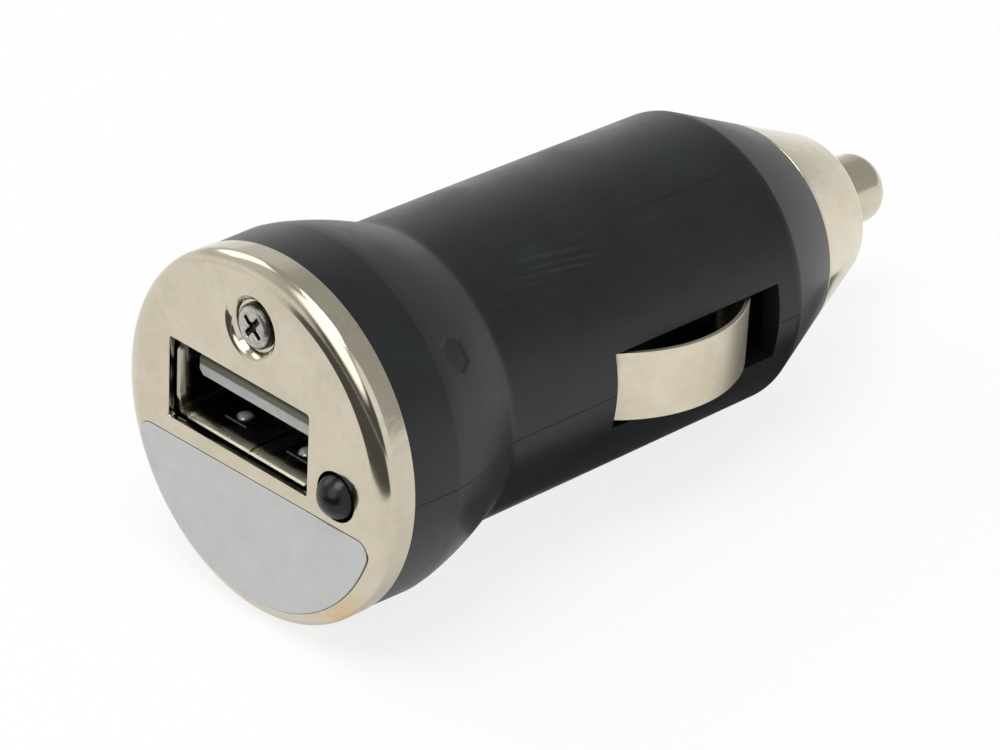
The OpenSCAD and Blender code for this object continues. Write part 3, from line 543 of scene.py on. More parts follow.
nodeFinish = {
    "plastic": ["upper_shell", "lower_shell"], "face": ["face_plate"], "screw": ["face_screw"],
    "label": ["blank_label"], "lamp": ["indicator_lamp"], "socket": ["usb_shell"],
    "tongue": ["usb_tongue"], "strip": ["right_side_contact", "left_side_contact"],
    "ring": ["nose_ring"], "pin": ["centre_pin"], "board": ["circuit_board"],
    "gilt": ["usb_power_contact", "usb_minus_contact", "usb_plus_contact", "usb_ground_contact"],
    "tinned": ["lamp_upper_lead", "lamp_lower_lead", "chip_leads", "spring_terminal"],
    "chip": ["converter_chip", "rectifier_diode", "chip_resistor_a", "chip_resistor_b"],
    "ferrite": ["coil_core"], "copper": ["coil_winding"], "wire": ["pin_spring"],
    "can": ["input_capacitor", "output_capacitor", "filter_capacitor"],
    "ceramic": ["ceramic_capacitor_a", "ceramic_capacitor_b"],
    "dull": ["right_ground_strap", "left_ground_strap"],
}
for key, nodeNames in nodeFinish.items():
    for nodeName in nodeNames:
        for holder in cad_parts[nodeName].material_slots:
            holder.material = finish[key]
print("CAD nodes finished:", sum(len(names) for names in nodeFinish.values()))


# Metal cap over the front

capSet = {
    "faceY": -12.5, "thick": 0.5, "radius": 12.3, "endY": -10.2,
    "rollWide": 2.05, "rollDeep": 0.95, "rollFrom": 20,    # the rim's roll is part of an ellipse
    "frontGap": 0.05, "backGap": 0.02,    # how far inside the roll its two ends lie
    "hemRound": 0.06, "edge": 0.07,       # rounding of the cut edge and of the punched ones
    "port": (-1.43, 1.24), "portWidth": 13.0, "portHeight": 5.74, "portRound": 0.25,
    "lamp": (7.66, -0.42), "lampHole": 1.65,
    "screw": (-0.35, 7.83), "dimpleRing": 2.5,    # the dimple starts at this radius
    "dimple": [[2.1, 0], [1.72, 0.6], [1.05, 0.6], [1.05, 1.05], [2.1, 1.05]],    # radius, depth
    "dimpleRound": [0.6, 0.12, 0.05, 0.05, 0.3],
    "sides": 288, "dimpleSides": 96, "lampSides": 72,
}


# The rim is a closed outline turned about the axis, the dimple is one turned about the screw,
# and two flat sheets with holes close the front and the back between them.
def buildCap():
    s = SimpleNamespace(**capSet)
    y0, y1, edge = s.faceY, s.faceY + s.thick, s.edge
    lean = np.linspace(math.radians(s.rollFrom), np.pi / 2, 28)

    # part of an ellipse, from its lean at the face to its outermost point
    def roll(wide, deep, edgeR, edgeY):
        drop = math.cos(lean[0]) - np.cos(lean)
        return np.stack([edgeR - wide + wide * np.sin(lean), edgeY + deep * drop], -1)

    outside = roll(s.rollWide, s.rollDeep, s.radius, y0)
    innerR = s.radius - s.thick
    inside = roll(s.rollWide - s.thick, s.rollDeep - s.thick, innerR, y1)[::-1]
    inside[-1, 0] = outside[0, 0] - s.backGap
    guard = outside[0, 0] - s.frontGap
    hem = roundedPath([outside[-1], [s.radius, s.endY], [innerR, s.endY], inside[0]],
                      [0, s.hemRound, s.hemRound, 0], 16)
    rim = np.concatenate([[[guard, y0]], outside, hem[1:-1], inside, [[guard, y1]]])
    dimple = roundedPath([[s.dimpleRing, 0], *s.dimple, [s.dimpleRing, s.thick]],
                         [0, *s.dimpleRound, 0], 8)
    dimple[:, 1] += y0
    parts = [gridPart(spin(rim, s.sides), True),
             gridPart(spin(dimple, s.dimpleSides, s.screw), True)]

    # a hole's wall: the outline shrinks along a quarter circle, runs through, and grows again
    turn = np.linspace(0, np.pi / 2, 4)
    grow = np.concatenate([edge * (1 - np.sin(turn)), edge * (1 - np.cos(turn))])
    depth = np.concatenate([y0 + edge * (1 - np.cos(turn)), y1 - edge * (1 - np.sin(turn))])

    def port(g):
        return roundedBox(s.port, s.portWidth + 2 * g, s.portHeight + 2 * g, s.portRound + g)

    def lamp(g):
        return circle(s.lamp, s.lampHole + g, s.lampSides)

    for outline in (port, lamp):
        wall = np.stack([np.insert(outline(g), 1, y, axis=1) for g, y in zip(grow, depth)])
        parts.append(gridPart(wall, False, True))
    outer = circle((0, 0), guard, s.sides)
    ring = circle(s.screw, s.dimpleRing, s.dimpleSides)
    for y in (y0, y1):
        parts.append(flatPart([outer, port(edge), lamp(edge), ring], y))
    makePiece("metalCap", parts, "housing", finish["face"], ["face_plate"])


buildCap()
print("metal cap made")


# Screw

screwSet = {
    "centre": (-0.35, 7.83), "topY": -12.42, "headR": 1.5, "headH": 0.45,
    "edge": 0.42, "edgeFlat": 0.75, "crown": 0.03,    # the rim's roll, its flatness, and the dome
    "crossTurn": -38, "crossLength": 0.93, "crossHalf": 0.2, "crossDepth": 0.4, "middleR": 0.42,
    "crossEnd": 0.1, "crossSides": (0.06, 0.02),      # slopes of the cross, inward and outward
    "shankR": 1.0, "threadDepth": 0.16, "pitch": 0.7, "length": 7.0, "tip": 1.2, "inHead": 0.05,
    "sides": 240,
}


# The head is a disc of rings whose height falls off at the rim on a quarter circle and sinks
# in two crossed bars; the thread is a tube whose radius waves along a screw line.
def buildScrew():
    s = SimpleNamespace(**screwSet)
    flatR = s.headR - s.edge
    rolled = s.edge * s.edgeFlat
    rim = flatR + s.edge * np.sin(np.linspace(0, np.pi / 2, 9))[1:]
    rho = np.concatenate([np.linspace(0, flatR, 56), rim])[None]
    turn = np.linspace(0, 2 * np.pi, s.sides, endpoint=False)[:, None]
    x, z = rho * np.cos(turn), rho * np.sin(turn)
    lean = math.radians(s.crossTurn)
    a, b = x * math.cos(lean) + z * math.sin(lean), z * math.cos(lean) - x * math.sin(lean)
    inward, outward = s.crossSides

    # a bar is deep where a point is near its middle line and short of its ends
    def bar(p, q):
        end = smoothStep(np.abs(p), s.crossLength - s.crossEnd, s.crossLength)
        side = smoothStep(np.abs(q), s.crossHalf - inward, s.crossHalf + outward)
        return (1 - end) * (1 - side)

    cross = np.maximum(bar(a, b), bar(b, a)) * (1 - 0.4 * rho / s.crossLength).clip(0.2)
    middle = 1 - smoothStep(rho, s.middleR * 0.5, s.middleR)
    sunk = np.maximum(cross, middle) * s.crossDepth
    fall = np.clip((rho - flatR) / s.edge, 0, 1)
    drop = rolled * (1 - np.sqrt(1 - fall ** 2)) + s.crown * (rho / s.headR) ** 2
    top = np.stack([x, s.topY + drop + sunk, z], -1)
    low = s.topY + s.headH
    under = np.array([[s.headR, s.topY + rolled + s.crown], [s.headR, low],
                      [s.shankR, low]])
    coarse = turn[::4]
    along = np.linspace(0, s.length, 160)[None]
    taper = np.clip((s.length - along) / s.tip, 0, 1)
    wave = 0.5 + 0.5 * np.cos(2 * np.pi * along / s.pitch - coarse)
    r = (s.shankR - s.threadDepth * wave) * taper ** 0.5
    tube = np.stack(np.broadcast_arrays(r * np.cos(coarse), low - s.inHead + along,
                                        r * np.sin(coarse)), -1)
    parts = [gridPart(top, True), gridPart(spin(under, s.sides), True), gridPart(tube, True)]
    move = np.array([s.centre[0], 0, s.centre[1]])
    makePiece("crossHeadScrew", [(p + move, f) for p, f in parts], "housing",
              finish["screw"], ["face_screw"])


buildScrew()
print("screw made")


# Indicator lamp

lampSet = {
    "centre": (7.66, -0.42), "radius": 1.5, "tipY": -13.55,
    "flangeR": 1.9, "flangeY": -11.0, "backY": -10.1, "round": 0.1,
}


# A dome on a short body with a flange behind: a profile turned about the lamp's own line
def buildLamp():
    s = SimpleNamespace(**lampSet)
    lean = np.linspace(0, np.pi / 2, 24)
    dome = np.stack([s.radius * np.sin(lean), s.tipY + s.radius * (1 - np.cos(lean))], -1)
    rest = roundedPath([dome[-1], [s.radius, s.flangeY], [s.flangeR, s.flangeY],
                        [s.flangeR, s.backY], [0, s.backY]], [0, *[s.round] * 3, 0], 3)
    profile = np.concatenate([dome, rest[1:]])
    makePiece("lampDome", [gridPart(spin(profile, 96, s.centre), True)], "housing",
              finish["lamp"], ["indicator_lamp"])


buildLamp()
print("lamp made")


# Socket

socketSet = {
    "centre": (-1.43, 1.24), "width": 13.1, "height": 5.7, "sheet": 0.3, "corner": 0.35,
    "mouthY": -11.75, "fineY": -8.4, "endY": -0.55,    # rows lie close together up to fineY
    "flare": 0.27, "flareLong": 0.75, "mouthStep": 0.03, "tabGap": 0.75,    # lips, kept off the corners
    "fingerX": 2.9, "fingerHalf": 1.1, "fingerY": -10.15, "fingerLong": 5.0,
    "cutHalf": 0.08, "cutDeep": 0.26,
    "bumpY": -9.2, "bumpR": 0.6, "bumpHigh": 0.32,
    "jointX": -1.08, "jointHalf": 0.06,
    "legX": 6.4, "legY": (-5.75, -4.55), "legTip": 0.4, "legPoint": 0.45,
}


# The folded steel shell is one closed grid: rows run from the back along the outside to the
# mouth and back along the inside, columns go round the section. Near the mouth the inside
# opens on a smooth step. The floor carries two domed bumps, U-shaped cuts and the fold's joint.
def buildSocketShell():
    s = SimpleNamespace(**socketSet)
    cx, cz = s.centre
    halfW, halfH, rc = s.width / 2 - s.sheet, s.height / 2 - s.sheet, s.corner
    w, h = halfW - rc, halfH - rc
    side = np.linspace(-h, h, 24)
    arc = np.linspace(0, np.pi / 2, 5)[1:-1]
    sine, cosine = rc * np.sin(arc), rc * np.cos(arc)
    stretches = [(np.linspace(w, -w, 210), -halfH), (-w - sine, -h - cosine), (-halfW, side),
                 (-w - cosine, h + sine), (np.linspace(-w, w, 60), halfH), (w + sine, h + cosine),
                 (halfW, side[::-1]), (w + cosine, -h - sine)]
    outline = np.concatenate([np.stack(np.broadcast_arrays(x, z), -1) for x, z in stretches])
    outward = outline - np.clip(outline, [-w, -h], [w, h])
    outward /= np.linalg.norm(outward, axis=1)[:, None]
    # how far each column is from the nearest corner, to keep the lips apart
    gapX, gapZ = halfW - np.abs(outline[:, 0]), halfH - np.abs(outline[:, 1])
    fromCorner = np.where(np.abs(outward[:, 0]) > 0.5, gapZ, gapX)
    tab = smoothStep(fromCorner, s.tabGap - 0.12, s.tabGap + 0.06)

    fine = np.arange(s.mouthY, s.fineY, 0.06)
    rows = np.unique(np.concatenate([fine, np.linspace(s.fineY, s.endY, 24)]))
    t = np.clip((s.mouthY + s.flareLong - rows) / s.flareLong, 0, 1)
    flare = s.flare * t * t * (1.6 - 0.6 * t)
    push = flare[:, None] * tab[None] + s.mouthStep * (t[:, None] > 0.9)
    inner = outline[None] + outward[None] * push[..., None]
    x, y = inner[..., 0], np.broadcast_to(rows[:, None], inner.shape[:2])
    floor = (outward[:, 1] < -0.99)[None]

    def groove(distance, half):
        return 1 - smoothStep(distance, half * 0.5, half * 1.3)

    relief = np.zeros(x.shape)
    apart = 9    # mm, further than a groove reaches
    for sign in (-1, 1):
        fx = np.abs(x - sign * s.fingerX)
        far = np.hypot(fx, y - s.bumpY)
        relief += s.bumpHigh * np.clip(1 - (far / s.bumpR) ** 2, 0, 1) ** 0.8
        within = (y > s.fingerY) & (y < s.fingerY + s.fingerLong)
        beside = np.where(within, np.abs(fx - s.fingerHalf), apart)
        before = np.where(fx < s.fingerHalf, np.abs(y - s.fingerY), apart)
        relief -= s.cutDeep * groove(np.minimum(beside, before), s.cutHalf)
    relief -= s.cutDeep * groove(np.abs(x + cx - s.jointX), s.jointHalf) * (flare[:, None] < 0.2)
    z = inner[..., 1] + np.where(floor, relief, 0)
    inside = np.stack([x + cx, y, z + cz], -1)
    outer = outline + outward * s.sheet
    back = np.linspace(s.endY, s.mouthY, 12)
    outside = np.stack(np.broadcast_arrays(outer[None, :, 0] + cx, back[:, None],
                                           outer[None, :, 1] + cz), -1)
    parts = [gridPart(np.concatenate([outside, inside]), True, True)]
    # two solder legs at the sides, each a slim bar with a pointed end
    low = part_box("usb_shell")[0][2] / mm
    half = s.sheet / 2
    level = np.array([cz - halfH, low + s.legTip, low])
    grow = np.array([1.0, 1.0, s.legPoint])
    first, last = s.legY
    ring = np.array([[-half, -1], [half, -1], [half, 1], [-half, 1]])
    wide = ring[None] * np.stack([np.ones(3), grow * (last - first) / 2], -1)[:, None]
    for sign in (-1, 1):
        leg = np.stack([cx + sign * s.legX + wide[..., 0], (first + last) / 2 + wide[..., 1],
                        np.broadcast_to(level[:, None], wide.shape[:2])], -1)
        points, faces = gridPart(leg, False, True)
        parts.append((points, faces.tolist() + [[0, 1, 2, 3], [8, 9, 10, 11]]))
    makePiece("socketShell", parts, "housing", finish["socket"], ["usb_shell"])


buildSocketShell()


# A rounded copy of a CAD node: its loose triangles are merged, flat faces joined, edges bevelled.
def roundedCopy(name, node, body, material, width):
    work = bmesh.new()
    work.from_mesh(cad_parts[node].data)
    bmesh.ops.remove_doubles(work, verts=work.verts, dist=meshSet["merge"])
    bmesh.ops.dissolve_limit(work, angle_limit=math.radians(meshSet["flat"]), verts=work.verts,
                             edges=work.edges)
    piece = finishPiece(name, bpy.data.meshes.new(name), work, body, material, [node])
    roundEdges(piece, width, 3, 25)


roundedCopy("socketTongue", "usb_tongue", "housing", finish["tongue"], 0.09)
print("socket made")


# Label

labelSet = {
    "radius": 11.22, "drop": 2.7, "round": 0.9, "tilt": 1.1, "thick": 0.1, "faceY": -12.5,
    "edge": [(0, -0.02), (0, 0.6), (0.012, 0.88), (0.04, 1), (0.09, 1)],    # inset, share of thick
    "glue": [(-0.04, -0.1), (-0.05, 0.012), (0.1, 0.02)],    # inset, height over the face
}


# The outline follows the cap's edge below, turns round two corners and runs straight on top.
# A thin dark strip shows round the film's edge.
def buildLabel():
    s = SimpleNamespace(**labelSet)
    low = -s.drop - s.round
    cx = math.sqrt((s.radius - s.round) ** 2 - low * low)
    lean = math.atan2(low, cx)

    def outline(inset):
        big = np.linspace(lean, -np.pi - lean, 160)
        corner = np.linspace(np.pi / 2, lean, 14)[:-1]
        r, rc = s.radius - inset, s.round - inset
        arc = arcPoints((0, 0), r, big)
        left = np.stack([-cx - rc * np.cos(corner[::-1]), low + rc * np.sin(corner[::-1])], -1)
        right = arcPoints((cx, low), rc, corner)
        flat = np.concatenate([arc, left, right])
        t = math.radians(s.tilt)
        return np.stack([flat[:, 0] * math.cos(t) - flat[:, 1] * math.sin(t),
                         flat[:, 0] * math.sin(t) + flat[:, 1] * math.cos(t)], -1)

    # a wall of outlines, each with its own inset and height over the face
    def wall(steps, unit):
        return np.stack([np.insert(outline(inset), 1, s.faceY - up * unit, axis=1)
                         for inset, up in steps])

    parts = [gridPart(wall(s.edge, s.thick), False, True)]
    for inset, up in (s.edge[-1], s.edge[0]):
        parts.append(flatPart([outline(inset)], s.faceY - up * s.thick))
    glue = gridPart(wall(s.glue, 1), False, True)
    makePiece("labelDarkEdge", [glue], "housing", finish["glue"])
    makePiece("bareLabel", parts, "housing", finish["label"], ["blank_label"])


buildLabel()
print("label made")


# Black shells

shellSet = {
    "underR": 11.75, "underY": -11.9,    # the step that the cap sits on
    "headR": 12.3, "headY": (-10.2, -6.55), "shoulderY": -6.3, "shoulderBow": 0.2,
    "barrelR": 10.3, "straightY": 9.0, "backR": 10.25, "backY": 26.5,
    "coneR": 7.88, "coneY": 31.95, "neckR": 5.1, "neckY": 35.8,
    "wall": 1.5, "seam": 0.01, "edge": 0.2,
    "slotLow": -2.6, "slotHigh": 2.8, "slotFrom": 9.2, "slotTo": 24.35, "slotR": 10.28,
    "levelTurn": (18, 38),    # from level walls at the slots to square ones
    "markTurn": 38.5, "markY": -4.4, "markWide": 1.35, "markLong": 1.15, "markDepth": 0.14,
    "markLean": 0.32, "markRows": (-5.8, -3.0, 0.07), "markSpread": 9, "markStep": 0.35,
    "leastRow": 0.03, "leastTurn": 0.0025,    # grid lines lie no closer than this
}


# Outer profile of the shells from under the cap to inside the nose ring, with soft corners.
# The shoulder is a straight slope that half a sine wave bows outward.
def shellProfile():
    s = SimpleNamespace(**shellSet)
    left = 1 - np.linspace(0, 1, 12)[1:-1]
    slope = s.barrelR + (s.headR - s.barrelR) * left
    shoulder = np.stack([slope + s.shoulderBow * np.sin(np.pi * left), s.shoulderY * left], -1)
    headFrom, headTo = s.headY
    corners = [[s.underR, s.underY], [s.underR, headFrom], [s.headR, headFrom],
               [s.headR, headTo], *shoulder, [s.barrelR, 0], [s.barrelR, s.straightY],
               [s.backR, s.backY], [s.coneR, s.coneY], [s.neckR, s.coneY],
               [s.neckR, s.neckY]]
    radii = [0, 0.05, 0.07, 0.25, *[1.2] * len(shoulder), 0.2, 0, 0.35, 0.1, 0.05, 0]
    return roundedPath(corners, radii, 5)


# A half shell is a grid of turn angle against profile place. The inner skin lies one wall
# further in; beside the slots it keeps the same height, so that the slot's walls are level.
def buildShell(name, level, node):
    s = SimpleNamespace(**shellSet)
    profile = shellProfile()
    step = np.concatenate([[0], np.cumsum(np.linalg.norm(np.diff(profile, axis=0), axis=1))])
    ys = profile[:, 1]
    extra = [np.arange(-6.0, 31.0, 0.8)]
    if level > 0:
        extra.append(np.arange(*s.markRows))
    extra.append([s.slotFrom, s.slotTo])
    rising = slice(18, -16)    # the stretch of the profile where y only grows
    onWay = np.interp(np.concatenate(extra), ys[rising], step[rising])
    places = np.unique(np.round(np.concatenate([step, onWay]), 5))
    places = places[np.insert(np.diff(places) > s.leastRow, 0, True)]
    r, y = np.interp(places, step, profile[:, 0]), np.interp(places, step, ys)
    slotRows = [int(np.argmin(np.abs(y - v))) for v in (s.slotFrom, s.slotTo)]
    y[slotRows] = s.slotFrom, s.slotTo

    high = s.slotHigh if level > 0 else -s.slotLow
    slotTurn = math.asin(high / s.slotR)
    seamTurn = math.asin(s.seam / s.barrelR)
    turn = [np.linspace(seamTurn, slotTurn, 12), np.linspace(slotTurn, np.pi - slotTurn, 132),
            np.linspace(np.pi - slotTurn, np.pi - seamTurn, 12)]
    if level > 0:
        first, last = s.markTurn - s.markSpread, s.markTurn + s.markSpread
        turn.append(np.radians(np.arange(first, last, s.markStep)))
    turn = np.unique(np.round(np.concatenate(turn), 6))
    turn = turn[np.insert(np.diff(turn) > s.leastTurn, 0, True)]

    # x is radius times cosine and z is radius times sine of the turn
    def skin(radius, angle):
        x, z = radius * np.cos(angle), radius * np.sin(angle)
        return np.stack([x, np.broadcast_to(y, x.shape), z], -1)

    outer = skin(r, turn[:, None])
    if level > 0:  # the six-sided moulding mark sinks into the shoulder
        across = (turn[:, None] - math.radians(s.markTurn)) * r[None]
        along = (y[None] - s.markY) * 1.05
        a, b = np.abs(across) / s.markWide, np.abs(along) / s.markLong
        six = np.maximum(b, 0.5 * b + a)
        sink = s.markDepth * (1 - smoothStep(six, 0.9, 1.02))
        outward = np.stack(np.broadcast_arrays(np.cos(turn), s.markLean, np.sin(turn)), -1)
        outer = outer - outward[:, None] * sink[..., None]

    rIn = r - np.minimum(s.wall, r * 0.3)
    sameHeight = np.arcsin(np.clip(r[None] * np.sin(turn)[:, None] / rIn[None], -1, 1))
    side = np.where(turn[:, None] > np.pi / 2, np.pi - sameHeight, sameHeight)
    near = 1 - smoothStep(np.minimum(turn, np.pi - turn), *np.radians(s.levelTurn))
    inner = skin(rIn, turn[:, None] + near[:, None] * (side - turn[:, None]))

    cells = np.ones((len(turn) - 1, len(y) - 1), bool)
    first = int(np.argmin(np.abs(turn - slotTurn)))
    last = int(np.argmin(np.abs(turn - (np.pi - slotTurn))))
    cells[:first, slotRows[0]:slotRows[1]] = False
    cells[last:, slotRows[0]:slotRows[1]] = False
    flip = np.array([1, 1, level])
    outer, inner = outer * flip, inner * flip

    # walls close the two skins wherever a kept cell ends
    n, m = len(turn), len(y)
    index = np.arange(n * m).reshape(n, m)
    padded = np.pad(cells, 1)
    walls = []
    for axis in (0, 1):
        before = padded[:-1, 1:-1] if axis == 0 else padded[1:-1, :-1]
        after = padded[1:, 1:-1] if axis == 0 else padded[1:-1, 1:]
        i, j = np.nonzero(before != after)
        p = index[i, j]
        q = index[i, j + 1] if axis == 0 else index[i + 1, j]
        walls.append(np.stack([p, q, q + n * m, p + n * m], -1))
    both = np.concatenate([outer.reshape(-1, 3), inner.reshape(-1, 3)])
    skins = gridFaces(n, m, keep=cells)
    faces = np.concatenate([skins, skins[:, ::-1] + n * m, *walls])
    used = np.unique(faces)
    rename = np.zeros(2 * n * m, int)
    rename[used] = np.arange(len(used))
    piece = makePiece(name, [(both[used], rename[faces])], "housing", finish["plastic"], [node])
    roundEdges(piece, s.edge, 3, 55)


buildShell("upperShell", 1, "upper_shell")
buildShell("lowerShell", -1, "lower_shell")
print("shells made")


# Side contacts

stripSet = {
    "bowX": 2.2, "bowY": 15.95, "bowR": 9.425, "thick": 0.35, "freeY": 9.76, "legY": 21.875,
    "rootX": 7.2, "rootR": 0.6, "middleZ": 0.1, "half": 2.45, "earHalf": 3.9, "earRound": 0.1,
    "bend": 0.55, "wave": 0.05, "edge": 0.06,
}


# The strip's middle line is an arc from the free end, a bend, and a leg down to the curled
# root; it is carried straight across the width and given its thickness both ways.
def buildStrip(name, side, body, node):
    s = SimpleNamespace(**stripSet)
    a0 = math.asin((s.freeY - s.bowY) / s.bowR)
    a1 = math.asin((s.legY - s.bowY) / s.bowR)
    arc = np.linspace(a0, a1, 60)
    bow = np.stack([s.bowX + s.bowR * np.cos(arc), s.bowY + s.bowR * np.sin(arc)], -1)
    bend = roundedPath([bow[-6], bow[-1], [s.rootX, s.legY]], [0, s.bend, 0], 10)
    path = np.concatenate([bow[:-6], bend])
    w = np.linspace(-1, 1, 29)
    points = np.zeros((len(path), len(w), 3))
    points[..., 0], points[..., 1] = path[:, :1], path[:, 1:]
    points[..., 2] = s.middleZ + s.half * w
    # the sheared free end waves a little, fading out along the strip
    fade = np.exp(-np.arange(len(path)) / 2.0)[:, None]
    shape = s.wave * (np.sin(3.1 * w + 0.4) + 0.6 * np.sin(7.3 * w + 2.0))[None]
    points[..., 1] += shape * fade
    ears = spin(roundedPath([[0, -s.earHalf], [s.rootR, -s.earHalf], [s.rootR, s.earHalf],
                             [0, s.earHalf]], [0, s.earRound, s.earRound, 0], 3), 40)
    ears = ears[..., [0, 2, 1]]    # turned to lie across the strip
    ears = ears + np.array([s.rootX, s.legY, s.middleZ])
    mirror = np.array([side, 1, 1])
    piece = makePiece(name, [gridPart(points * mirror)], body, finish["strip"], [node], outward=False)
    wall = piece.modifiers.new("sheet", "SOLIDIFY")
    wall.thickness, wall.offset = s.thick * mm, 0
    wall.use_even_offset = True
    roundEdges(piece, s.edge, 2, 50)
    makePiece(name + "Root", [gridPart(ears * mirror, True)], body, finish["dull"])


buildStrip("rightSpringStrip", 1, "right_contact", "right_side_contact")
buildStrip("leftSpringStrip", -1, "left_contact", "left_side_contact")
print("side contacts made")


# Nose ring and pin

noseSet = {    # outlines as radius and y, each with the rounding of its corners
    "ring": ([[5.15, 36.2], [5.15, 31.95], [7.88, 31.95], [5.15, 38.55], [2.56, 38.55],
              [2.56, 36.2], [5.15, 36.2]],
             [0, 0.1, 0.12, 1.0, 0.12, 0.05, 0]),
    "pin": ([[0, 33.05], [2.0, 33.05], [2.0, 35.05], [3.3, 35.05], [3.3, 36.19], [2.48, 36.19],
             [2.48, 44.3], [0, 44.3]],
            [0, 0.2, 0.05, 0.1, 0.1, 0.05, 1.4, 0]),
}


# A closed profile turned about the plug's axis
def turned(key, sides):
    return [gridPart(spin(roundedPath(*noseSet[key], 14), sides), True)]


makePiece("noseRing", turned("ring", 200), "housing", finish["ring"], ["nose_ring"])
makePiece("nosePin", turned("pin", 120), "pin", finish["pin"], ["centre_pin"])
print("nose made")


# Floor, world and lamps

stageSet = {
    "restHead": (-6.3, -12.3),    # y and z of the two places that the plug lies on
    "restBarrel": (26.5, -10.25),
    "size": 4.0,                  # metres
    "floorColour": (0.9, 0.9, 0.9),
    "floorGlow": (0.82, 0.5),     # share of plain white that the camera and the reflections see
    "flagLevel": 0.09,            # how dark the flags are
}


def stageHeight(y):
    (y0, z0), (y1, z1) = stageSet["restHead"], stageSet["restBarrel"]
    return z0 + (z1 - z0) / (y1 - y0) * (y - y0)


# A flat four-cornered sheet on the floor; x and y in mm, lifted a little if asked.
def flatSheet(name, corners, material, lift=-0.05):
    flat = np.asarray(corners, float)
    points = np.column_stack([flat, stageHeight(flat[:, 1]) + lift]) * mm
    mesh = bpy.data.meshes.new(name)
    mesh.from_pydata(points.tolist(), [], [[0, 1, 2, 3]])
    mesh.materials.append(material)
    sheet = bpy.data.objects.new(name, mesh)
    bpy.context.scene.collection.objects.link(sheet)
    return sheet


def stageMaterial(name):
    material = bpy.data.materials.new(name)
    material.use_nodes = True
    material.node_tree.nodes.clear()
    return material, material.node_tree


def buildFloor():
    s = SimpleNamespace(**stageSet)
    material, tree = stageMaterial("paleFloor")
    rays = addNode(tree, "ShaderNodeLightPath").outputs
    shiny = calc(tree, "MAXIMUM", rays["Is Glossy Ray"], rays["Is Transmission Ray"])
    share = calc(tree, "MAXIMUM", times(tree, rays["Is Camera Ray"], s.floorGlow[0]),
                 times(tree, shiny, s.floorGlow[1]))
    plain = addNode(tree, "ShaderNodeBsdfDiffuse", {"Color": (*s.floorColour, 1)}).outputs[0]
    glow = addNode(tree, "ShaderNodeEmission", {"Color": (1, 1, 1, 1), "Strength": 1.0}).outputs[0]
    both = addNode(tree, "ShaderNodeMixShader", {0: share, 1: plain, 2: glow}).outputs[0]
    addNode(tree, "ShaderNodeOutputMaterial", {"Surface": both})
    far = s.size / mm
    flatSheet("floor", [(-far, -far), (far, -far), (far, far), (-far, far)], material)


flagSet = {
    "front": [(-29, -46), (44, -46), (600, -900), (-560, -900)],    # in front of the face
    # painted shadow: this flag darkens the floor under the barrel's side as reflections see it, where the
    # barrel's own shadow falls
    "beside": [(5, 3), (17, 3), (17, 48), (5, 48)],                # under the barrel's side
}


# Dark grey flags lie on the floor and are seen by reflections alone. The front one gives the metal
# its dark bands, as card does in a studio; the one beside the barrel is a painted shadow.
def buildFlags():
    material, tree = stageMaterial("blackFlag")
    dark = {"Color": (1, 1, 1, 1), "Strength": stageSet["flagLevel"]}
    surface = addNode(tree, "ShaderNodeEmission", dark).outputs[0]
    addNode(tree, "ShaderNodeOutputMaterial", {"Surface": surface})
    for i, (name, corners) in enumerate(flagSet.items()):
        flag = flatSheet(name + "Flag", corners, material, 0.1 + 0.1 * i)
        flag.visible_camera = flag.visible_diffuse = False
        flag.visible_shadow = flag.visible_transmission = False


worldSet = {
    "daylight": 0.56,                   # level of the world for plain surfaces
    "skyLow": 1.0, "skyHigh": 0.46,     # what gloss sees at the horizon and above
    "horizon": (0.05, 0.26, 1, 0),      # where a fade starts and ends, and its two levels
    "left": (-0.7, -0.3, 0.5, 0), "leftTop": (0.5, 0.85, 1, 0),
    "right": ((0.95, -0.2, 0.25), 0.68, 0.85, 0, 2.0),    # the same after a direction
    "front": ((0.22, -0.97, 0), 0.75, 0.86, 1, 0),
    "softbox": ((0, -0.85, 0.5), 0.86, 0.94, 0, 2.1),
}


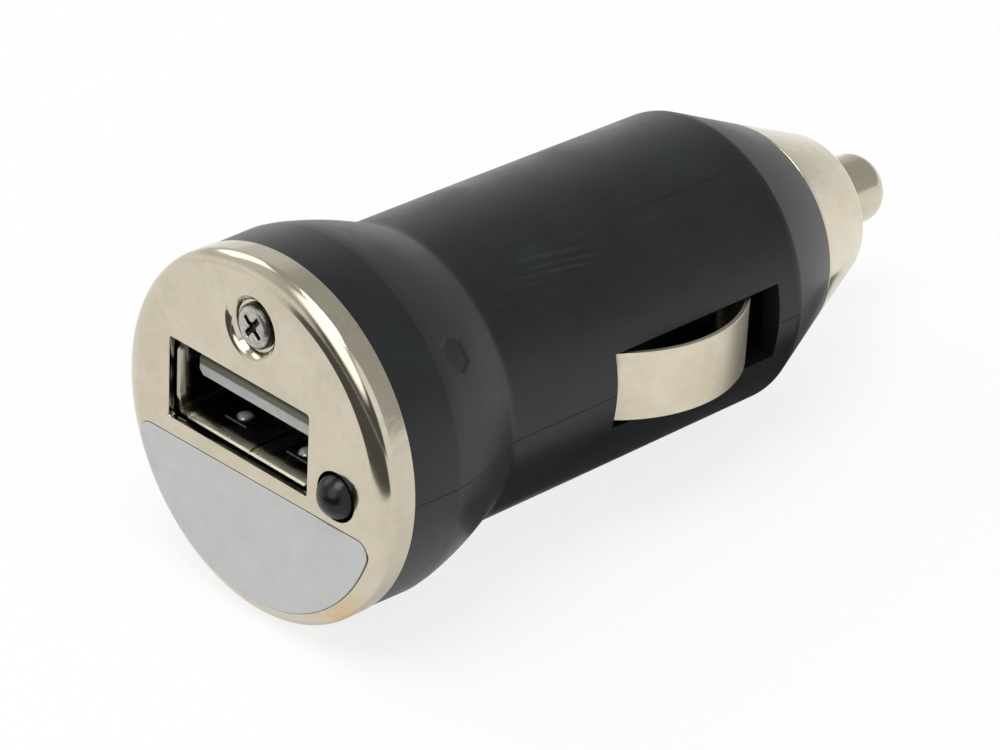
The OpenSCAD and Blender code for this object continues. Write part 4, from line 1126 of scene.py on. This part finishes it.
# The world is white to the camera and an even grey to plain surfaces. Gloss sees a bright
# horizon, soft sides at the left and right, and a softbox above a dark front.
def buildWorld():
    s = SimpleNamespace(**worldSet)
    world = bpy.data.worlds.new("studio")
    bpy.context.scene.world = world
    world.use_nodes = True
    tree = world.node_tree
    tree.nodes.clear()
    rays = addNode(tree, "ShaderNodeLightPath").outputs
    look = addNode(tree, "ShaderNodeTexCoord").outputs["Generated"]
    x, y, z = addNode(tree, "ShaderNodeSeparateXYZ", {0: look}).outputs

    # how near a ray is to a direction is the dot product of the two
    def patch(way, *fade):
        part = calc(tree, "MULTIPLY_ADD", y, way[1], times(tree, z, way[2]))
        return remap(tree, calc(tree, "MULTIPLY_ADD", x, way[0], part), *fade, True)

    horizon = remap(tree, z, *s.horizon, True)
    left = times(tree, remap(tree, x, *s.left, True), remap(tree, z, *s.leftTop, True))
    level = calc(tree, "MAXIMUM", calc(tree, "MAXIMUM", horizon, left), patch(*s.right))
    gloss = times(tree, remap(tree, level, 0, 1, s.skyHigh, s.skyLow), patch(*s.front))
    gloss = calc(tree, "MAXIMUM", gloss, patch(*s.softbox))
    gloss = calc(tree, "MAXIMUM", gloss, stageSet["flagLevel"])
    shiny = rays["Is Glossy Ray"]
    plain = addNode(tree, "ShaderNodeMix", {0: shiny, 2: s.daylight, 3: gloss}).outputs[0]
    seen = calc(tree, "MAXIMUM", rays["Is Camera Ray"], rays["Is Transmission Ray"])
    final = addNode(tree, "ShaderNodeMix", {0: seen, 2: plain, 3: 1.0}).outputs[0]
    back = addNode(tree, "ShaderNodeBackground", {"Color": (1, 1, 1, 1), "Strength": final}).outputs[0]
    addNode(tree, "ShaderNodeOutputWorld", {"Surface": back})


panelSet = {
    "away": 0.9, "size": 0.5, "aim": (0, 0.015, 0),    # metres
    "top": (10, 68, 4.2), "left": (-75, 35, 1.2),      # azimuth, elevation and power
}


# A panel is a soft square lamp that looks at the plug's middle.
def addPanel(key):
    s = panelSet
    azimuth, elevation, power = s[key]
    back = towards(azimuth, elevation)
    data = bpy.data.lights.new(key + "Panel", "AREA")
    data.shape, data.size, data.energy = "SQUARE", s["size"], power
    lamp = bpy.data.objects.new(key + "Panel", data)
    lamp.location = Vector(s["aim"]) + back * s["away"]
    lamp.rotation_mode = "QUATERNION"
    lamp.rotation_quaternion = (-back).to_track_quat("-Z", "Y")
    bpy.context.scene.collection.objects.link(lamp)


buildFloor()
buildFlags()
buildWorld()
addPanel("top")
addPanel("left")
print("stage made")

bpy.context.scene.view_settings.view_transform = "Standard"
